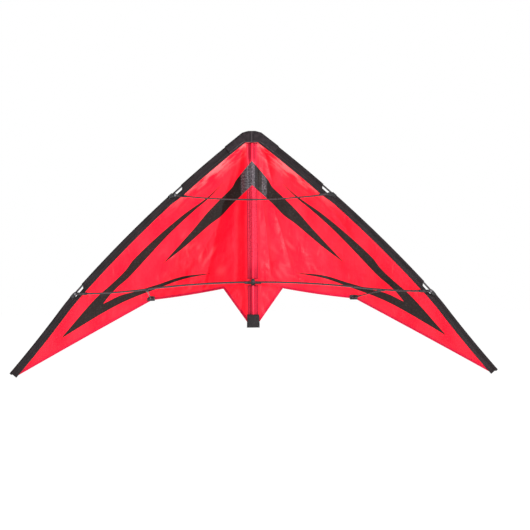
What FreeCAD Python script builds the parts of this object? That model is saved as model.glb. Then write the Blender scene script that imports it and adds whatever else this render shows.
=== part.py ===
"""Two-line delta kite, in millimetres: +Z to the nose, +X to the right wing, -Y to the flyer.

The origin is on the axis of the spine, at the middle of the centre tee. The sail lies behind
the frame and billows towards +Y. Both leading edges lie in the plane y = 0.
"""
import FreeCAD, Part
import math
import os

from FreeCAD import Vector

# Rods
EDGE_ROD_R = 2.5
SPINE_ROD_R = 2.5
LOWER_ROD_R = 2.5
UPPER_ROD_R = 2.0
STANDOFF_ROD_R = 1.5

# Gaps
SEAT_GAP = 0.02          # a cap or ferrule on its rod
PIN_GAP = 0.06           # an eye on its hinge pin
CRADLE_GAP = 0.4         # an open cradle round the rod that lifts out of it
SLEEVE_GAP = 0.6         # cloth round a rod

# Outer line of the right leading edge, from the nose to the tip: it starts at EDGE_START,
# falls at EDGE_START_ANGLE, and each run is a length and the angle that it turns by.
EDGE_START = (24.8, 399.5)
EDGE_START_ANGLE = 37.9
EDGE_RUNS = [(615.0, 10.0), (70.0, 5.0), (212.0, -3.8)]
SLEEVE_WIDTH = 22.0
SLEEVE_SKIN = 0.5
SLEEVE_LAP = 1.2
SLEEVE_LAP_START = 9.0
UPPER_STATION = 256.0    # distances along the leading edge
LOWER_STATION = 632.0
NOTCH_BEFORE = 40.0
NOTCH_AFTER = 9.5
NOTCH_DEPTH = 11.0
FERRULE_LENGTH = 60.0
FERRULE_WALL = 0.5
FERRULE_STATION = 672.0
EDGE_ROD_SETBACK = 4.0   # the rod stops this far inside each end of its sleeve
TIP_CAP_LENGTH = 14.0
TIP_CAP_HEAD = (3.9, 3.0)
TIP_CAP_ROUNDING = 1.8
ROD_CAP_WALL = 0.8
ROD_CAP_LENGTH = 9.0
ROD_CAP_END = 1.2
ROD_CAP_ROUNDING = 0.7
EDGE_CAP_WALL = 0.56      # thinner than on the spine, to go inside the sleeve

# Sail
SAIL_THICKNESS = 0.8
SAIL_AT_SPINE = 2.7      # front face of the cloth at the spine
SAIL_INNER_X = 14.3
SAIL_TAIL_X = 17.0
SAIL_TOP_Z = 381.0
SAIL_LOW_Z = -264.0
SAIL_MARGIN = 5.0        # the sheet is made this much wider than the cloth, then cut
SAIL_COLUMNS = 14
SAIL_ROWS = 16
NOSE_APEX_Z = 404.0      # the billow runs out as a cone from here
STANDOFF_DEPTH = {"left": 87.0, "right": 50.0}
STANDOFF_FOOT_X = {"left": 279.0, "right": 272.0}
STANDOFF_FOOT_Z = -44.0
STANDOFF_CLIP_X = {"left": 285.0, "right": 349.0}
RIDGE_ROUNDING = 0.22
LEAST_CONE = 0.1
SAIL_TIP_SETBACK = 2.0
SAIL_ABOVE_PATCH = 1.0
TAIL_NOTCH = (80.0, -17.5)
TAIL_EDGE_Z = -106.0
TRAILING_MIDDLE = (170.0, -33.5)
TRAILING_FOOT = (276.0, -47.5)
TRAILING_BULGE = (455.0, -146.0)

# Spine, its pocket and the patches
SPINE_TOP_Z = 397.0
SPINE_TAIL_Z = -113.0
POCKET_HALF_WIDTH = 13.8
POCKET_STITCH_X = 7.0
POCKET_TOP_Z = 373.0
POCKET_TAIL_Z = -104.0
POCKET_STRIP = 1.0
POCKET_WALL = 0.7
POCKET_GAP = 0.15
TEE_WINDOW = (-9.0, 8.5)
TAIL_PATCH_SIZE = (33.0, 34.6)
TAIL_PATCH_TOP_Z = -86.8
TAIL_PATCH_SKIN = 1.0
TAIL_PATCH_FOLD_R = 1.5
TAIL_PATCH_ROOM = (1.0, 0.1)   # before the spine and behind the pocket
NOSE_PATCH_HALF_TOP = 9.5
NOSE_PATCH_TOP_Z = 405.0
NOSE_PATCH_EDGE_LENGTH = 60.0
NOSE_PATCH_LOWER_Z = 374.4
NOSE_PATCH_HALF_LOWER = 20.0
NOSE_PATCH_SKIN = 1.0
NOSE_PATCH_CAVITY = 4.4
NOSE_PATCH_PROUD = 1.3
NOSE_PATCH_TOP_WALL = 1.2
NOSE_PATCH_DROPS = (6.0, 18.0, 40.0)   # the hollow, repeated lower down until it is open below

# Centre tee
SPREADER_Y = -9.0
TEE_HALF_LENGTH = 22.5
TEE_BLOCK_HALF = 5.0
TEE_WALL = 2.0
TEE_CLAMP_WALL = 2.6
TEE_CLAMP_Z = (-8.0, 7.5)
TEE_BACK_Y = 2.4
TEE_EYE_Z = 6.4
TEE_EYE_R = 3.2
BRIDLE_HOLE_R = 1.5
TEE_EYE_THICKNESS = 4.0
TEE_BLOCK_BACK = 2.0
TEE_CRADLE_BITE = 0.5

# Lower spreaders: from the tee outwards, each run is a length and the angle that it turns by.
LOWER_ROD_START = 6.3
LOWER_RUNS = [(283.0, 6.9), (162.0, -6.5)]
SOCKET_LENGTH = 26.0
SOCKET_START = 5.6
ROD_IN_SOCKET = 20.0
SOCKET_WALL = 1.3

# Upper spreader: an arc that bows towards the flyer and down
UPPER_HALF_SPAN = 206.0
UPPER_MIDDLE_Z = 219.9
UPPER_PIN_Z = 234.4
UPPER_FORWARD_BOW = 30.0
UPPER_EXIT_ANGLE = 54.4  # the way out of the right cradle, below the way to the flyer
UPPER_CRADLE_START = 1.6
UPPER_CRADLE_WALL = 1.6
UPPER_SLOT_DEPTH = 20.0
BOW_ROUNDS = 40          # steps that settle the bow's angle

# Moulded fittings on the leading edges
CLAMP_HALF_LENGTH = 7.0
CLAMP_WALL = 2.2
LUG_R = 4.6
LUG_BACK_Y = -2.8
LUG_FRONT_Y = -5.8
EYE_R = 5.0
EYE_BACK_Y = -6.3
EYE_FRONT_Y = -11.4
PIN_R = 1.5
PIN_HEAD_R = 3.0
PIN_HEAD = (-12.8, -11.7)
PIN_HEAD_ROUNDING = 0.6
PIN_HEAD_ROOM = 0.6
LUG_ROOM = 0.8
CLAMP_ROUNDING = 0.7

# Standoffs
CLIP_WIDTH = 8.0
CLIP_WALL = 2.0
CLIP_MOUTH_ROOM = 1.0
ROD_SEAT_AT_CLIP = 3.0   # how far a standoff's rod stays short of each end
ROD_SEAT_AT_FOOT = 2.0
STANDOFF_TUBE_R = 3.0
STANDOFF_TUBE_LENGTH = 18.0
FOOT_PIN_FORWARD = 6.0
FOOT_PIN_R = 1.0
FOOT_EYE_R = 3.2
FOOT_EYE_HALF = 2.7
FOOT_TUBE_R = 2.4
EAR_THICKNESS = 2.0
EAR_GAP = 0.35
JAW_SIZE = (21.0, 13.0)
JAW_FRONT = 2.0
JAW_BACK = 2.6
JAW_SLOPE_ROOM = 4.0     # spare depth, because the cloth slopes through the jaw
JAW_FRONT_ROOM = 1.0
JAW_BELOW_PIN = 0.45     # share of the jaw's height below its pin
JAW_ROUNDING = 2.0
JAW_SWEEP_ROOM = 0.5
JAW_PIN_PROUD = 0.6

X_AXIS = Vector(1, 0, 0)
Y_AXIS = Vector(0, 1, 0)
Z_AXIS = Vector(0, 0, 1)
DEEP = 400.0             # longer than any cut along Y
REACH = 60.0             # longer than any small cut
PAST = 1.0               # how far a cut runs past the face that it opens
CLOSE = 0.01             # two lengths nearer than this are the same
SETTLED = 1e-6           # a search stops once its step is smaller than this


def flat(x, z, y=0.0):
    """A point of the wing plane."""
    return Vector(x, y, z)


def polygon(points):
    """A closed flat face through points."""
    return Part.Face(Part.makePolygon(points + [points[0]]))


def cylinder(start, end, radius):
    """A solid round bar from start to end."""
    return Part.makeCylinder(radius, (end - start).Length, start, end - start)


def tube(start, end, outer, inner):
    """A straight tube, open at both ends."""
    return cylinder(start, end, outer).cut(cylinder(start, end, inner))


def mirrored(shape, side):
    """The shape as it is on the right, or its mirror image on the left."""
    if side == "right":
        return shape
    return shape.mirror(Vector(0, 0, 0), X_AXIS)


def solve(limit, rising, target):
    """The number between 0 and limit at which a rising function reaches its target."""
    low = 0.0
    high = limit
    while high - low > SETTLED:
        middle = (low + high) / 2
        if rising(middle) < target:
            low = middle
        else:
            high = middle
    return high


class Line:
    """A smooth line in the wing plane, made of runs that meet without a corner."""

    def __init__(self, start, angle, runs, y=0.0):
        self.y = y
        self.runs = []
        place = Vector(start[0], y, start[1])
        heading = math.radians(angle)
        for length, turn in runs:
            self.runs.append((place, heading, length, math.radians(turn)))
            place = self.advance(place, heading, length, math.radians(turn), length)
            heading += math.radians(turn)
        self.length = sum(run[2] for run in self.runs)

    @staticmethod
    def advance(place, heading, length, turn, distance):
        """The point at a distance along one run; headings fall below +X as they grow."""
        if abs(turn) < SETTLED:
            return place + flat(math.cos(heading), -math.sin(heading)) * distance
        radius = length / turn
        angle = heading + distance / radius
        across = math.sin(angle) - math.sin(heading)
        down = math.cos(heading) - math.cos(angle)
        return place + flat(across, -down) * radius

    def run_at(self, distance):
        """The run that holds a distance along the line, and the distance into it."""
        for run in self.runs[:-1]:
            if distance <= run[2]:
                return run, distance
            distance -= run[2]
        return self.runs[-1], distance

    def point(self, distance, inward=0.0):
        """A point at a distance along the line, moved inward across it."""
        (place, heading, length, turn), along = self.run_at(distance)
        here = self.advance(place, heading, length, turn, along)
        return here + self.inward(distance) * inward

    def tangent(self, distance):
        """The direction of travel, away from the start."""
        (_, heading, length, turn), along = self.run_at(distance)
        angle = heading + turn * along / length
        return flat(math.cos(angle), -math.sin(angle))

    def inward(self, distance):
        """The direction across the line, towards the spine and the tail."""
        ahead = self.tangent(distance)
        return flat(ahead.z, -ahead.x)

    def edges(self, start, end, inward=0.0):
        """The edges of the line between two distances, one for each run."""
        stops = [start]
        passed = 0.0
        for run in self.runs[:-1]:
            passed += run[2]
            if start < passed < end:
                stops.append(passed)
        stops.append(end)
        pieces = []
        for low, high in zip(stops, stops[1:]):
            middle = self.point((low + high) / 2, inward)
            pieces.append(Part.Arc(self.point(low, inward), middle, self.point(high, inward)).toShape())
        return pieces

    def wire(self, start, end, inward=0.0):
        """The same edges as one wire."""
        return Part.Wire(self.edges(start, end, inward))

    def gap(self, x, z, inward=0.0):
        """How far a point is inside the line; it is negative outside it."""
        best = None
        for run in self.runs:
            place, heading, length, turn = run
            radius = length / turn
            centre = place + flat(-math.sin(heading), -math.cos(heading)) * radius
            arm = flat(x, z) - flat(centre.x, centre.z)
            sign = 1.0 if radius > 0 else -1.0
            along = (math.atan2(sign * arm.x, sign * arm.z) - heading) * radius
            inside = sign * (abs(radius) - arm.Length) - inward
            miss = max(0.0, -along, along - length)
            if run is self.runs[0] and along < 0:
                miss = 0.0
            if best is None or miss < best[0]:
                best = (miss, inside)
        return best[1]


ROD_INSET = EDGE_ROD_R + SLEEVE_GAP + SLEEVE_SKIN
EDGE = Line(EDGE_START, EDGE_START_ANGLE, EDGE_RUNS)
LOWER = Line((LOWER_ROD_START, 0.0), 0.0, LOWER_RUNS, SPREADER_Y)


def bar(line, start, end, radius, inward=0.0):
    """A round bar that follows a line."""
    spine = line.wire(start, end, inward)
    ring = Part.Wire(Part.makeCircle(radius, line.point(start, inward), line.tangent(start)))
    return spine.makePipeShell([ring], True, False)


def pipe(line, start, end, outer, inner, inward=0.0):
    """A round pipe that follows a line."""
    return bar(line, start, end, outer, inward).cut(bar(line, start, end, inner, inward))


# ---------------------------------------------------------------- leading edges

def edge_rods():
    """The upper and lower rods of a leading edge, which meet inside the ferrule."""
    last = EDGE.length - EDGE_ROD_SETBACK
    upper = bar(EDGE, EDGE_ROD_SETBACK, FERRULE_STATION, EDGE_ROD_R, ROD_INSET)
    lower = bar(EDGE, FERRULE_STATION, last, EDGE_ROD_R, ROD_INSET)
    return upper, lower


def edge_ferrule():
    """The short metal tube that joins the two rods, bent to their angle."""
    start = FERRULE_STATION - FERRULE_LENGTH / 2
    inner = EDGE_ROD_R + SEAT_GAP
    return pipe(EDGE, start, start + FERRULE_LENGTH, inner + FERRULE_WALL, inner, ROD_INSET)


def rod_cap(end, outwards, radius, length, outer):
    """A soft cap pushed over a rod's end; outwards is the way the rod's end faces."""
    tip = end + outwards * ROD_CAP_END
    shell = cylinder(end - outwards * length, tip, outer)
    rim = [edge for edge in shell.Edges if (edge.CenterOfMass - tip).Length < CLOSE]
    shell = shell.makeFillet(ROD_CAP_ROUNDING, rim)
    return shell.cut(cylinder(end - outwards * length, end, radius + SEAT_GAP))


def edge_nose_cap():
    """The cap on the leading edge's upper end, inside the nose patch."""
    end = EDGE.point(EDGE_ROD_SETBACK, ROD_INSET)
    outwards = EDGE.tangent(EDGE_ROD_SETBACK) * -1
    inner = EDGE_ROD_R + SEAT_GAP
    return rod_cap(end, outwards, EDGE_ROD_R, ROD_CAP_LENGTH, inner + EDGE_CAP_WALL)


def edge_tip_cap():
    """The moulded cap of the wing tip: a thin skirt inside the sleeve and a round head outside."""
    mouth = EDGE.point(EDGE.length, ROD_INSET)
    outwards = EDGE.tangent(EDGE.length)
    rod_end = mouth - outwards * EDGE_ROD_SETBACK
    skirt = cylinder(mouth - outwards * TIP_CAP_LENGTH, mouth, EDGE_ROD_R + SLEEVE_GAP - SEAT_GAP)
    radius, height = TIP_CAP_HEAD
    top = mouth + outwards * height
    head = cylinder(mouth, top, radius)
    rim = [edge for edge in head.Edges if (edge.CenterOfMass - top).Length < CLOSE]
    head = head.makeFillet(TIP_CAP_ROUNDING, rim)
    bore = cylinder(mouth - outwards * REACH, rod_end, EDGE_ROD_R + SEAT_GAP)
    return skirt.fuse(head).cut(bore).removeSplitter()


def sleeve_section(distance):
    """The outline of the sleeve across the edge: round at the rod, flat where it is sewn."""
    outer = ROD_INSET
    half = SLEEVE_LAP / 2
    at = EDGE.point(distance)
    across = EDGE.inward(distance)

    def place(depth, y):
        return at + across * depth + Y_AXIS * y

    reach = SLEEVE_LAP_START - ROD_INSET
    lean = math.acos(outer / math.hypot(reach, half)) + math.atan2(half, reach)
    touch = (ROD_INSET + outer * math.cos(lean), outer * math.sin(lean))
    arc = Part.Arc(place(touch[0], touch[1]), place(0, 0), place(touch[0], -touch[1])).toShape()
    points = [
        place(touch[0], -touch[1]),
        place(SLEEVE_LAP_START, -half),
        place(SLEEVE_WIDTH, -half),
        place(SLEEVE_WIDTH, half),
        place(SLEEVE_LAP_START, half),
        place(touch[0], touch[1]),
    ]
    return Part.Wire([arc] + Part.makePolygon(points).Edges)


def notch_cutter(station):
    """The block that opens the sleeve beside a fitting."""
    ahead = EDGE.tangent(station)
    across = EDGE.inward(station)
    outside = -REACH
    corners = [
        EDGE.point(station) - ahead * NOTCH_BEFORE + across * outside,
        EDGE.point(station) + ahead * NOTCH_AFTER + across * outside,
        EDGE.point(station) + ahead * NOTCH_AFTER + across * NOTCH_DEPTH,
        EDGE.point(station) - ahead * (NOTCH_BEFORE - NOTCH_DEPTH / 2) + across * NOTCH_DEPTH,
        EDGE.point(station) - ahead * NOTCH_BEFORE + across * NOTCH_DEPTH / 2,
    ]
    block = polygon(corners).extrude(Y_AXIS * REACH)
    block.translate(Y_AXIS * (-REACH / 2))
    return block


def edge_sleeve():
    """The cloth sleeve of a leading edge, with the channel for its rod and its two notches."""
    spine = EDGE.wire(0.0, EDGE.length)
    sleeve = spine.makePipeShell([sleeve_section(0.0)], True, False)
    sleeve = sleeve.cut(bar(EDGE, 0.0, EDGE.length, EDGE_ROD_R + SLEEVE_GAP, ROD_INSET))
    for station in (UPPER_STATION, LOWER_STATION):
        sleeve = sleeve.cut(notch_cutter(station))
    return sleeve


# ---------------------------------------------------------------- sail

def smooth_least(first, second, rounding):
    """The lesser of two numbers, with the corner between them rounded off."""
    return (first + second - math.hypot(first - second, rounding)) / 2


def billow(x, z, side):
    """How far behind the wing plane the front of the cloth lies."""
    foot_x = STANDOFF_FOOT_X[side]
    inside = EDGE.gap(x, z, SLEEVE_WIDTH)
    foot_inside = EDGE.gap(foot_x, STANDOFF_FOOT_Z, SLEEVE_WIDTH)
    cone = max(LEAST_CONE, (NOSE_APEX_Z - z) / (NOSE_APEX_Z - STANDOFF_FOOT_Z))
    level = smooth_least(x / foot_x, inside / foot_inside, RIDGE_ROUNDING * cone)
    peak = smooth_least(1.0, 1.0, RIDGE_ROUNDING)
    towards_spine = max(0.0, inside) / (max(0.0, inside) + x)
    return STANDOFF_DEPTH[side] * level / peak + (SAIL_AT_SPINE + SAIL_THICKNESS / 2) * towards_spine


def edge_x(z):
    """Where the sleeve's inner side passes a given height; past the tip it runs straight on."""
    last = EDGE.point(EDGE.length, SLEEVE_WIDTH)
    if z < last.z:
        ahead = EDGE.tangent(EDGE.length)
        return last.x + (z - last.z) * ahead.x / ahead.z
    along = solve(EDGE.length, lambda distance: -EDGE.point(distance, SLEEVE_WIDTH).z, -z)
    return EDGE.point(along, SLEEVE_WIDTH).x


def sail_slab(side):
    """The billowed sheet over the whole wing; its columns spread out as the wing widens."""
    grid = []
    for column in range(SAIL_COLUMNS + 1):
        line = []
        for row in range(SAIL_ROWS + 1):
            z = SAIL_LOW_Z + (SAIL_TOP_Z - SAIL_LOW_Z) * row / SAIL_ROWS
            low = SAIL_INNER_X - SAIL_MARGIN
            high = edge_x(z) + SAIL_MARGIN
            x = low + (high - low) * column / SAIL_COLUMNS
            line.append(flat(x, z, billow(x, z, side) - SAIL_THICKNESS / 2))
        grid.append(line)
    sheet = Part.BSplineSurface()
    sheet.interpolate(grid)
    return sheet.toShape().extrude(Y_AXIS * SAIL_THICKNESS)


def through(points, y=-DEEP / 2):
    """The smooth edge through three points."""
    ends = [flat(x, z, y) for x, z in points]
    return Part.Arc(*ends).toShape()


def sail_outline(side):
    """The cut edge of one half of the sail, as a deep prism."""
    start = solve(EDGE.length, lambda along: EDGE.point(along, SLEEVE_WIDTH).x, SAIL_INNER_X)
    last = EDGE.length - SAIL_TIP_SETBACK
    tip = EDGE.point(last, SLEEVE_WIDTH)
    edge = EDGE.wire(start, last, SLEEVE_WIDTH)
    edge.translate(Y_AXIS * (-DEEP / 2))
    corner = (SAIL_TAIL_X, TAIL_PATCH_TOP_Z + SAIL_ABOVE_PATCH)
    inner = [(SAIL_TAIL_X, TAIL_EDGE_Z), corner, (SAIL_INNER_X, corner[1])]
    top = EDGE.point(start, SLEEVE_WIDTH)
    trailing = [
        through([(tip.x, tip.z), TRAILING_BULGE, TRAILING_FOOT]),
        through([TRAILING_FOOT, TRAILING_MIDDLE, TAIL_NOTCH]),
    ]
    rest = [TAIL_NOTCH] + inner + [(top.x, top.z)]
    straight = Part.makePolygon([flat(x, z, -DEEP / 2) for x, z in rest]).Edges
    outline = Part.Wire(edge.Edges + trailing + straight)
    return Part.Face(outline).extrude(Y_AXIS * DEEP)


def sail(side):
    """One half of the sail, on the right-hand side."""
    return sail_slab(side).common(sail_outline(side))


# ---------------------------------------------------------------- spine

def spine_rod():
    """The spine."""
    return cylinder(flat(0, SPINE_TAIL_Z), flat(0, SPINE_TOP_Z), SPINE_ROD_R)


def spine_cap(z, outwards):
    """The cap on one end of the spine."""
    outer = SPINE_ROD_R + SEAT_GAP + ROD_CAP_WALL
    return rod_cap(flat(0, z), outwards, SPINE_ROD_R, ROD_CAP_LENGTH, outer)


def spine_pocket():
    """The strip sewn over the spine: flat flanges, a round front and a window for the tee."""
    outer = SPINE_ROD_R + POCKET_WALL
    front = SAIL_AT_SPINE
    reach = math.hypot(POCKET_STITCH_X, front)
    lean = math.atan2(front, POCKET_STITCH_X) - math.acos(outer / reach)
    touch = Vector(outer * math.cos(lean), outer * math.sin(lean), 0)
    arc = Part.Arc(Vector(-touch.x, touch.y, 0), Vector(0, -outer, 0), touch).toShape()
    points = [
        touch,
        Vector(POCKET_STITCH_X, front, 0),
        Vector(POCKET_HALF_WIDTH, front, 0),
        Vector(POCKET_HALF_WIDTH, front + POCKET_STRIP, 0),
        Vector(-POCKET_HALF_WIDTH, front + POCKET_STRIP, 0),
        Vector(-POCKET_HALF_WIDTH, front, 0),
        Vector(-POCKET_STITCH_X, front, 0),
        Vector(-touch.x, touch.y, 0),
    ]
    face = Part.Face(Part.Wire([arc] + Part.makePolygon(points).Edges))
    face.translate(Z_AXIS * POCKET_TAIL_Z)
    strip = face.extrude(Z_AXIS * (POCKET_TOP_Z - POCKET_TAIL_Z))
    channel = cylinder(flat(0, POCKET_TAIL_Z), flat(0, POCKET_TOP_Z), SPINE_ROD_R + POCKET_GAP)
    window = Part.makeBox(REACH, REACH, TEE_WINDOW[1] - TEE_WINDOW[0],
                          Vector(-REACH / 2, front - REACH, TEE_WINDOW[0]))
    return strip.cut(channel).cut(window)


def tail_patch():
    """The hook-and-loop patch folded round the foot of the spine."""
    width, height = TAIL_PATCH_SIZE
    bottom = TAIL_PATCH_TOP_Z - height
    front = -(SPINE_ROD_R + TAIL_PATCH_ROOM[0])
    back = SAIL_AT_SPINE + POCKET_STRIP + TAIL_PATCH_ROOM[1]
    skin = TAIL_PATCH_SKIN
    outer = Part.makeBox(width, back - front + 2 * skin, height,
                         Vector(-width / 2, front - skin, bottom))
    folds = [edge for edge in outer.Edges
             if abs(edge.CenterOfMass.z - bottom) < CLOSE and abs(edge.CenterOfMass.x) < CLOSE]
    outer = outer.makeFillet(TAIL_PATCH_FOLD_R, folds)
    inner = Part.makeBox(width, back - front, height,
                         Vector(-width / 2, front, bottom + skin))
    return outer.cut(inner)


def nose_patch_outline(proud):
    """The outline of the nose patch; proud moves its upper edges outwards."""
    low = EDGE.point(NOSE_PATCH_EDGE_LENGTH, -proud)
    inner = EDGE.point(NOSE_PATCH_EDGE_LENGTH, SLEEVE_WIDTH)
    shoulder = EDGE.point(0.0, -proud)
    right = [
        (NOSE_PATCH_HALF_TOP, NOSE_PATCH_TOP_Z),
        (shoulder.x, shoulder.z),
        (low.x, low.z),
        (inner.x, inner.z),
        (NOSE_PATCH_HALF_LOWER, NOSE_PATCH_LOWER_Z),
    ]
    left = [(-x, z) for x, z in reversed(right)]
    return [flat(x, z) for x, z in right + left]


def nose_patch():
    """The webbing folded over the nose, closed along its upper edges and open below."""
    outer_y = NOSE_PATCH_CAVITY + NOSE_PATCH_SKIN
    outer = polygon(nose_patch_outline(NOSE_PATCH_PROUD)).extrude(Y_AXIS * 2 * outer_y)
    outer.translate(Y_AXIS * -outer_y)
    drop = NOSE_PATCH_TOP_WALL
    top = polygon(nose_patch_outline(NOSE_PATCH_PROUD)).extrude(Y_AXIS * 2 * NOSE_PATCH_CAVITY)
    top.translate(flat(0, -drop, -NOSE_PATCH_CAVITY))
    cavity = top
    for step in NOSE_PATCH_DROPS:
        lower = top.copy()
        lower.translate(flat(0, -step))
        cavity = cavity.fuse(lower)
    return outer.cut(cavity)


# ---------------------------------------------------------------- centre tee

def cradle(start, end, radius, wall, open_way):
    """A half pipe from start to end, open towards open_way."""
    along = (end - start).normalize()
    shell = tube(start, end, radius + wall, radius)
    side = along.cross(open_way)
    lid = Part.makeBox(4 * (radius + wall), 2 * (radius + wall), (end - start).Length + 2 * PAST)
    lid.translate(Vector(-2 * (radius + wall), 0, -PAST))
    frame = FreeCAD.Matrix(side.x, open_way.x, along.x, start.x,
                           side.y, open_way.y, along.y, start.y,
                           side.z, open_way.z, along.z, start.z,
                           0, 0, 0, 1)
    lid = lid.transformGeometry(frame)
    return shell.cut(lid)


def centre_tee():
    """The moulded tee: a clamp on the spine, a cradle for each spreader and a bridle eye."""
    radius = LOWER_ROD_R + CRADLE_GAP
    outer = radius + TEE_WALL
    block = Part.makeBox(2 * TEE_BLOCK_HALF, outer - SPREADER_Y - TEE_BLOCK_BACK, 2 * outer,
                         Vector(-TEE_BLOCK_HALF, SPREADER_Y - outer, -outer))
    clamp = cylinder(flat(0, TEE_CLAMP_Z[0]), flat(0, TEE_CLAMP_Z[1]), SPINE_ROD_R + TEE_CLAMP_WALL)
    eye_back = SPREADER_Y + TEE_EYE_THICKNESS / 2
    eye_front = SPREADER_Y - TEE_EYE_THICKNESS / 2
    eye = cylinder(flat(0, TEE_EYE_Z, eye_front), flat(0, TEE_EYE_Z, eye_back), TEE_EYE_R)
    neck = Part.makeBox(2 * TEE_EYE_R, TEE_EYE_THICKNESS, TEE_EYE_Z, Vector(-TEE_EYE_R, eye_front, 0))
    tee = block.fuse([clamp, eye, neck])
    for way in (-1, 1):
        start = flat(way * (TEE_BLOCK_HALF - TEE_CRADLE_BITE), 0, SPREADER_Y)
        end = flat(way * TEE_HALF_LENGTH, 0, SPREADER_Y)
        tee = tee.fuse(cradle(start, end, radius, TEE_WALL, Z_AXIS))
    hole = cylinder(flat(0, TEE_EYE_Z, eye_front - PAST), flat(0, TEE_EYE_Z, eye_back + PAST),
                    BRIDLE_HOLE_R)
    bore = cylinder(flat(0, -REACH), flat(0, REACH), SPINE_ROD_R + SEAT_GAP)
    back = Part.makeBox(REACH, REACH, REACH, Vector(-REACH / 2, TEE_BACK_Y, -REACH / 2))
    return tee.cut(hole).cut(bore).cut(back).removeSplitter()


# ---------------------------------------------------------------- lower spreaders

def lower_pin():
    """The place of the hinge pin at the outer end of the lower spreader."""
    last = LOWER.length
    return LOWER.point(last) + LOWER.tangent(last) * (ROD_IN_SOCKET + SOCKET_START)


def lower_rod():
    """The lower spreader: two gentle arcs, straight where it enters its socket."""
    bent = bar(LOWER, 0.0, LOWER.length, LOWER_ROD_R)
    end = LOWER.point(LOWER.length)
    straight = cylinder(end, end + LOWER.tangent(LOWER.length) * ROD_IN_SOCKET, LOWER_ROD_R)
    return bent.fuse(straight).removeSplitter()


def socket(pin, towards_rod, rod_r):
    """The swivelling socket: an eye on the pin and a tube that holds the rod's end."""
    inner = rod_r + SEAT_GAP
    start = pin + towards_rod * SOCKET_START
    end = start + towards_rod * SOCKET_LENGTH
    barrel = cylinder(pin, end, inner + SOCKET_WALL)
    eye = cylinder(Vector(pin.x, EYE_FRONT_Y, pin.z), Vector(pin.x, EYE_BACK_Y, pin.z), EYE_R)
    room = cylinder(Vector(pin.x, LUG_FRONT_Y - PAST, pin.z), Vector(pin.x, REACH, pin.z),
                    LUG_R + LUG_ROOM)
    room = room.common(Part.makeBox(REACH, REACH, REACH,
                                    Vector(pin.x - REACH / 2, EYE_BACK_Y, pin.z - REACH / 2)))
    head_room = cylinder(Vector(pin.x, EYE_FRONT_Y, pin.z), Vector(pin.x, -REACH, pin.z),
                         PIN_HEAD_R + PIN_HEAD_ROOM)
    body = barrel.fuse(eye)
    bore = cylinder(start, end, inner)
    hole = cylinder(Vector(pin.x, -REACH, pin.z), Vector(pin.x, REACH, pin.z), PIN_R + PIN_GAP)
    return body.cut(room).cut(head_room).cut(bore).cut(hole).removeSplitter()


def hinge_pin(pin):
    """The rivet that holds a socket on its lug."""
    shaft = cylinder(Vector(pin.x, PIN_HEAD[1], pin.z), Vector(pin.x, LUG_BACK_Y, pin.z), PIN_R)
    head = cylinder(Vector(pin.x, PIN_HEAD[1], pin.z), Vector(pin.x, PIN_HEAD[0], pin.z), PIN_HEAD_R)
    rim = [edge for edge in head.Edges if abs(edge.CenterOfMass.y - PIN_HEAD[0]) < CLOSE]
    return head.makeFillet(PIN_HEAD_ROUNDING, rim).fuse(shaft).removeSplitter()


# ---------------------------------------------------------------- edge fittings

def clamp_and_lug(station, pin):
    """The moulded clamp on the leading edge rod, with a lug that reaches to the pin."""
    middle = EDGE.point(station, ROD_INSET)
    ahead = EDGE.tangent(station)
    outer = EDGE_ROD_R + CLAMP_WALL
    barrel = cylinder(middle - ahead * CLAMP_HALF_LENGTH, middle + ahead * CLAMP_HALF_LENGTH, outer)
    round_rim = 2 * math.pi * outer
    rims = [edge for edge in barrel.Edges if edge.Closed and abs(edge.Length - round_rim) < CLOSE]
    barrel = barrel.makeFillet(CLAMP_ROUNDING, rims)
    reach = Vector(pin.x - middle.x, 0, pin.z - middle.z)
    side = reach.cross(Y_AXIS).normalize() * LUG_R
    root = Vector(middle.x, LUG_FRONT_Y, middle.z)
    tip = Vector(pin.x, LUG_FRONT_Y, pin.z)
    depth = Y_AXIS * (LUG_BACK_Y - LUG_FRONT_Y)
    plate = polygon([root + side, tip + side, tip - side, root - side]).extrude(depth)
    round_end = cylinder(tip, tip + depth, LUG_R)
    round_root = cylinder(root, root + depth, LUG_R)
    lug = plate.fuse([round_end, round_root])
    return barrel.fuse(lug)


def fitting_bores(fitting, station, pin):
    """The fitting with its rod bore and its pin hole cut."""
    middle = EDGE.point(station, ROD_INSET)
    ahead = EDGE.tangent(station)
    bore = cylinder(middle - ahead * REACH, middle + ahead * REACH, EDGE_ROD_R + SEAT_GAP)
    fitting = fitting.cut(bore)
    if pin is not None:
        hole = cylinder(Vector(pin.x, -REACH, pin.z), Vector(pin.x, REACH, pin.z), PIN_R + SEAT_GAP)
        fitting = fitting.cut(hole)
    return fitting.removeSplitter()


def lower_fitting():
    """The hinge fitting of a lower spreader."""
    pin = lower_pin()
    return fitting_bores(clamp_and_lug(LOWER_STATION, pin), LOWER_STATION, pin)


# ---------------------------------------------------------------- upper spreader

class Bow:
    """The upper spreader's arc: it starts at its right end and leans in a slanted plane."""

    def __init__(self):
        drop = UPPER_PIN_Z - UPPER_MIDDLE_Z
        self.sag = math.hypot(drop, UPPER_FORWARD_BOW)
        self.way = Vector(0, -UPPER_FORWARD_BOW, -drop).normalize()
        self.pin = Vector(UPPER_HALF_SPAN, SPREADER_Y, UPPER_PIN_Z)
        lead = SOCKET_START + ROD_IN_SOCKET
        half = UPPER_HALF_SPAN
        angle = math.atan2(self.sag, half) * 2
        for _ in range(BOW_ROUNDS):
            radius = (half - lead * math.cos(angle)) / math.sin(angle)
            sag = lead * math.sin(angle) + radius * (1 - math.cos(angle))
            angle *= self.sag / sag
        self.angle = angle
        self.lead = lead
        self.inward = (X_AXIS * -math.cos(angle) + self.way * math.sin(angle)).normalize()
        self.start = self.pin + self.inward * lead
        self.middle = Vector(0, SPREADER_Y, UPPER_PIN_Z) + self.way * self.sag


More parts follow.
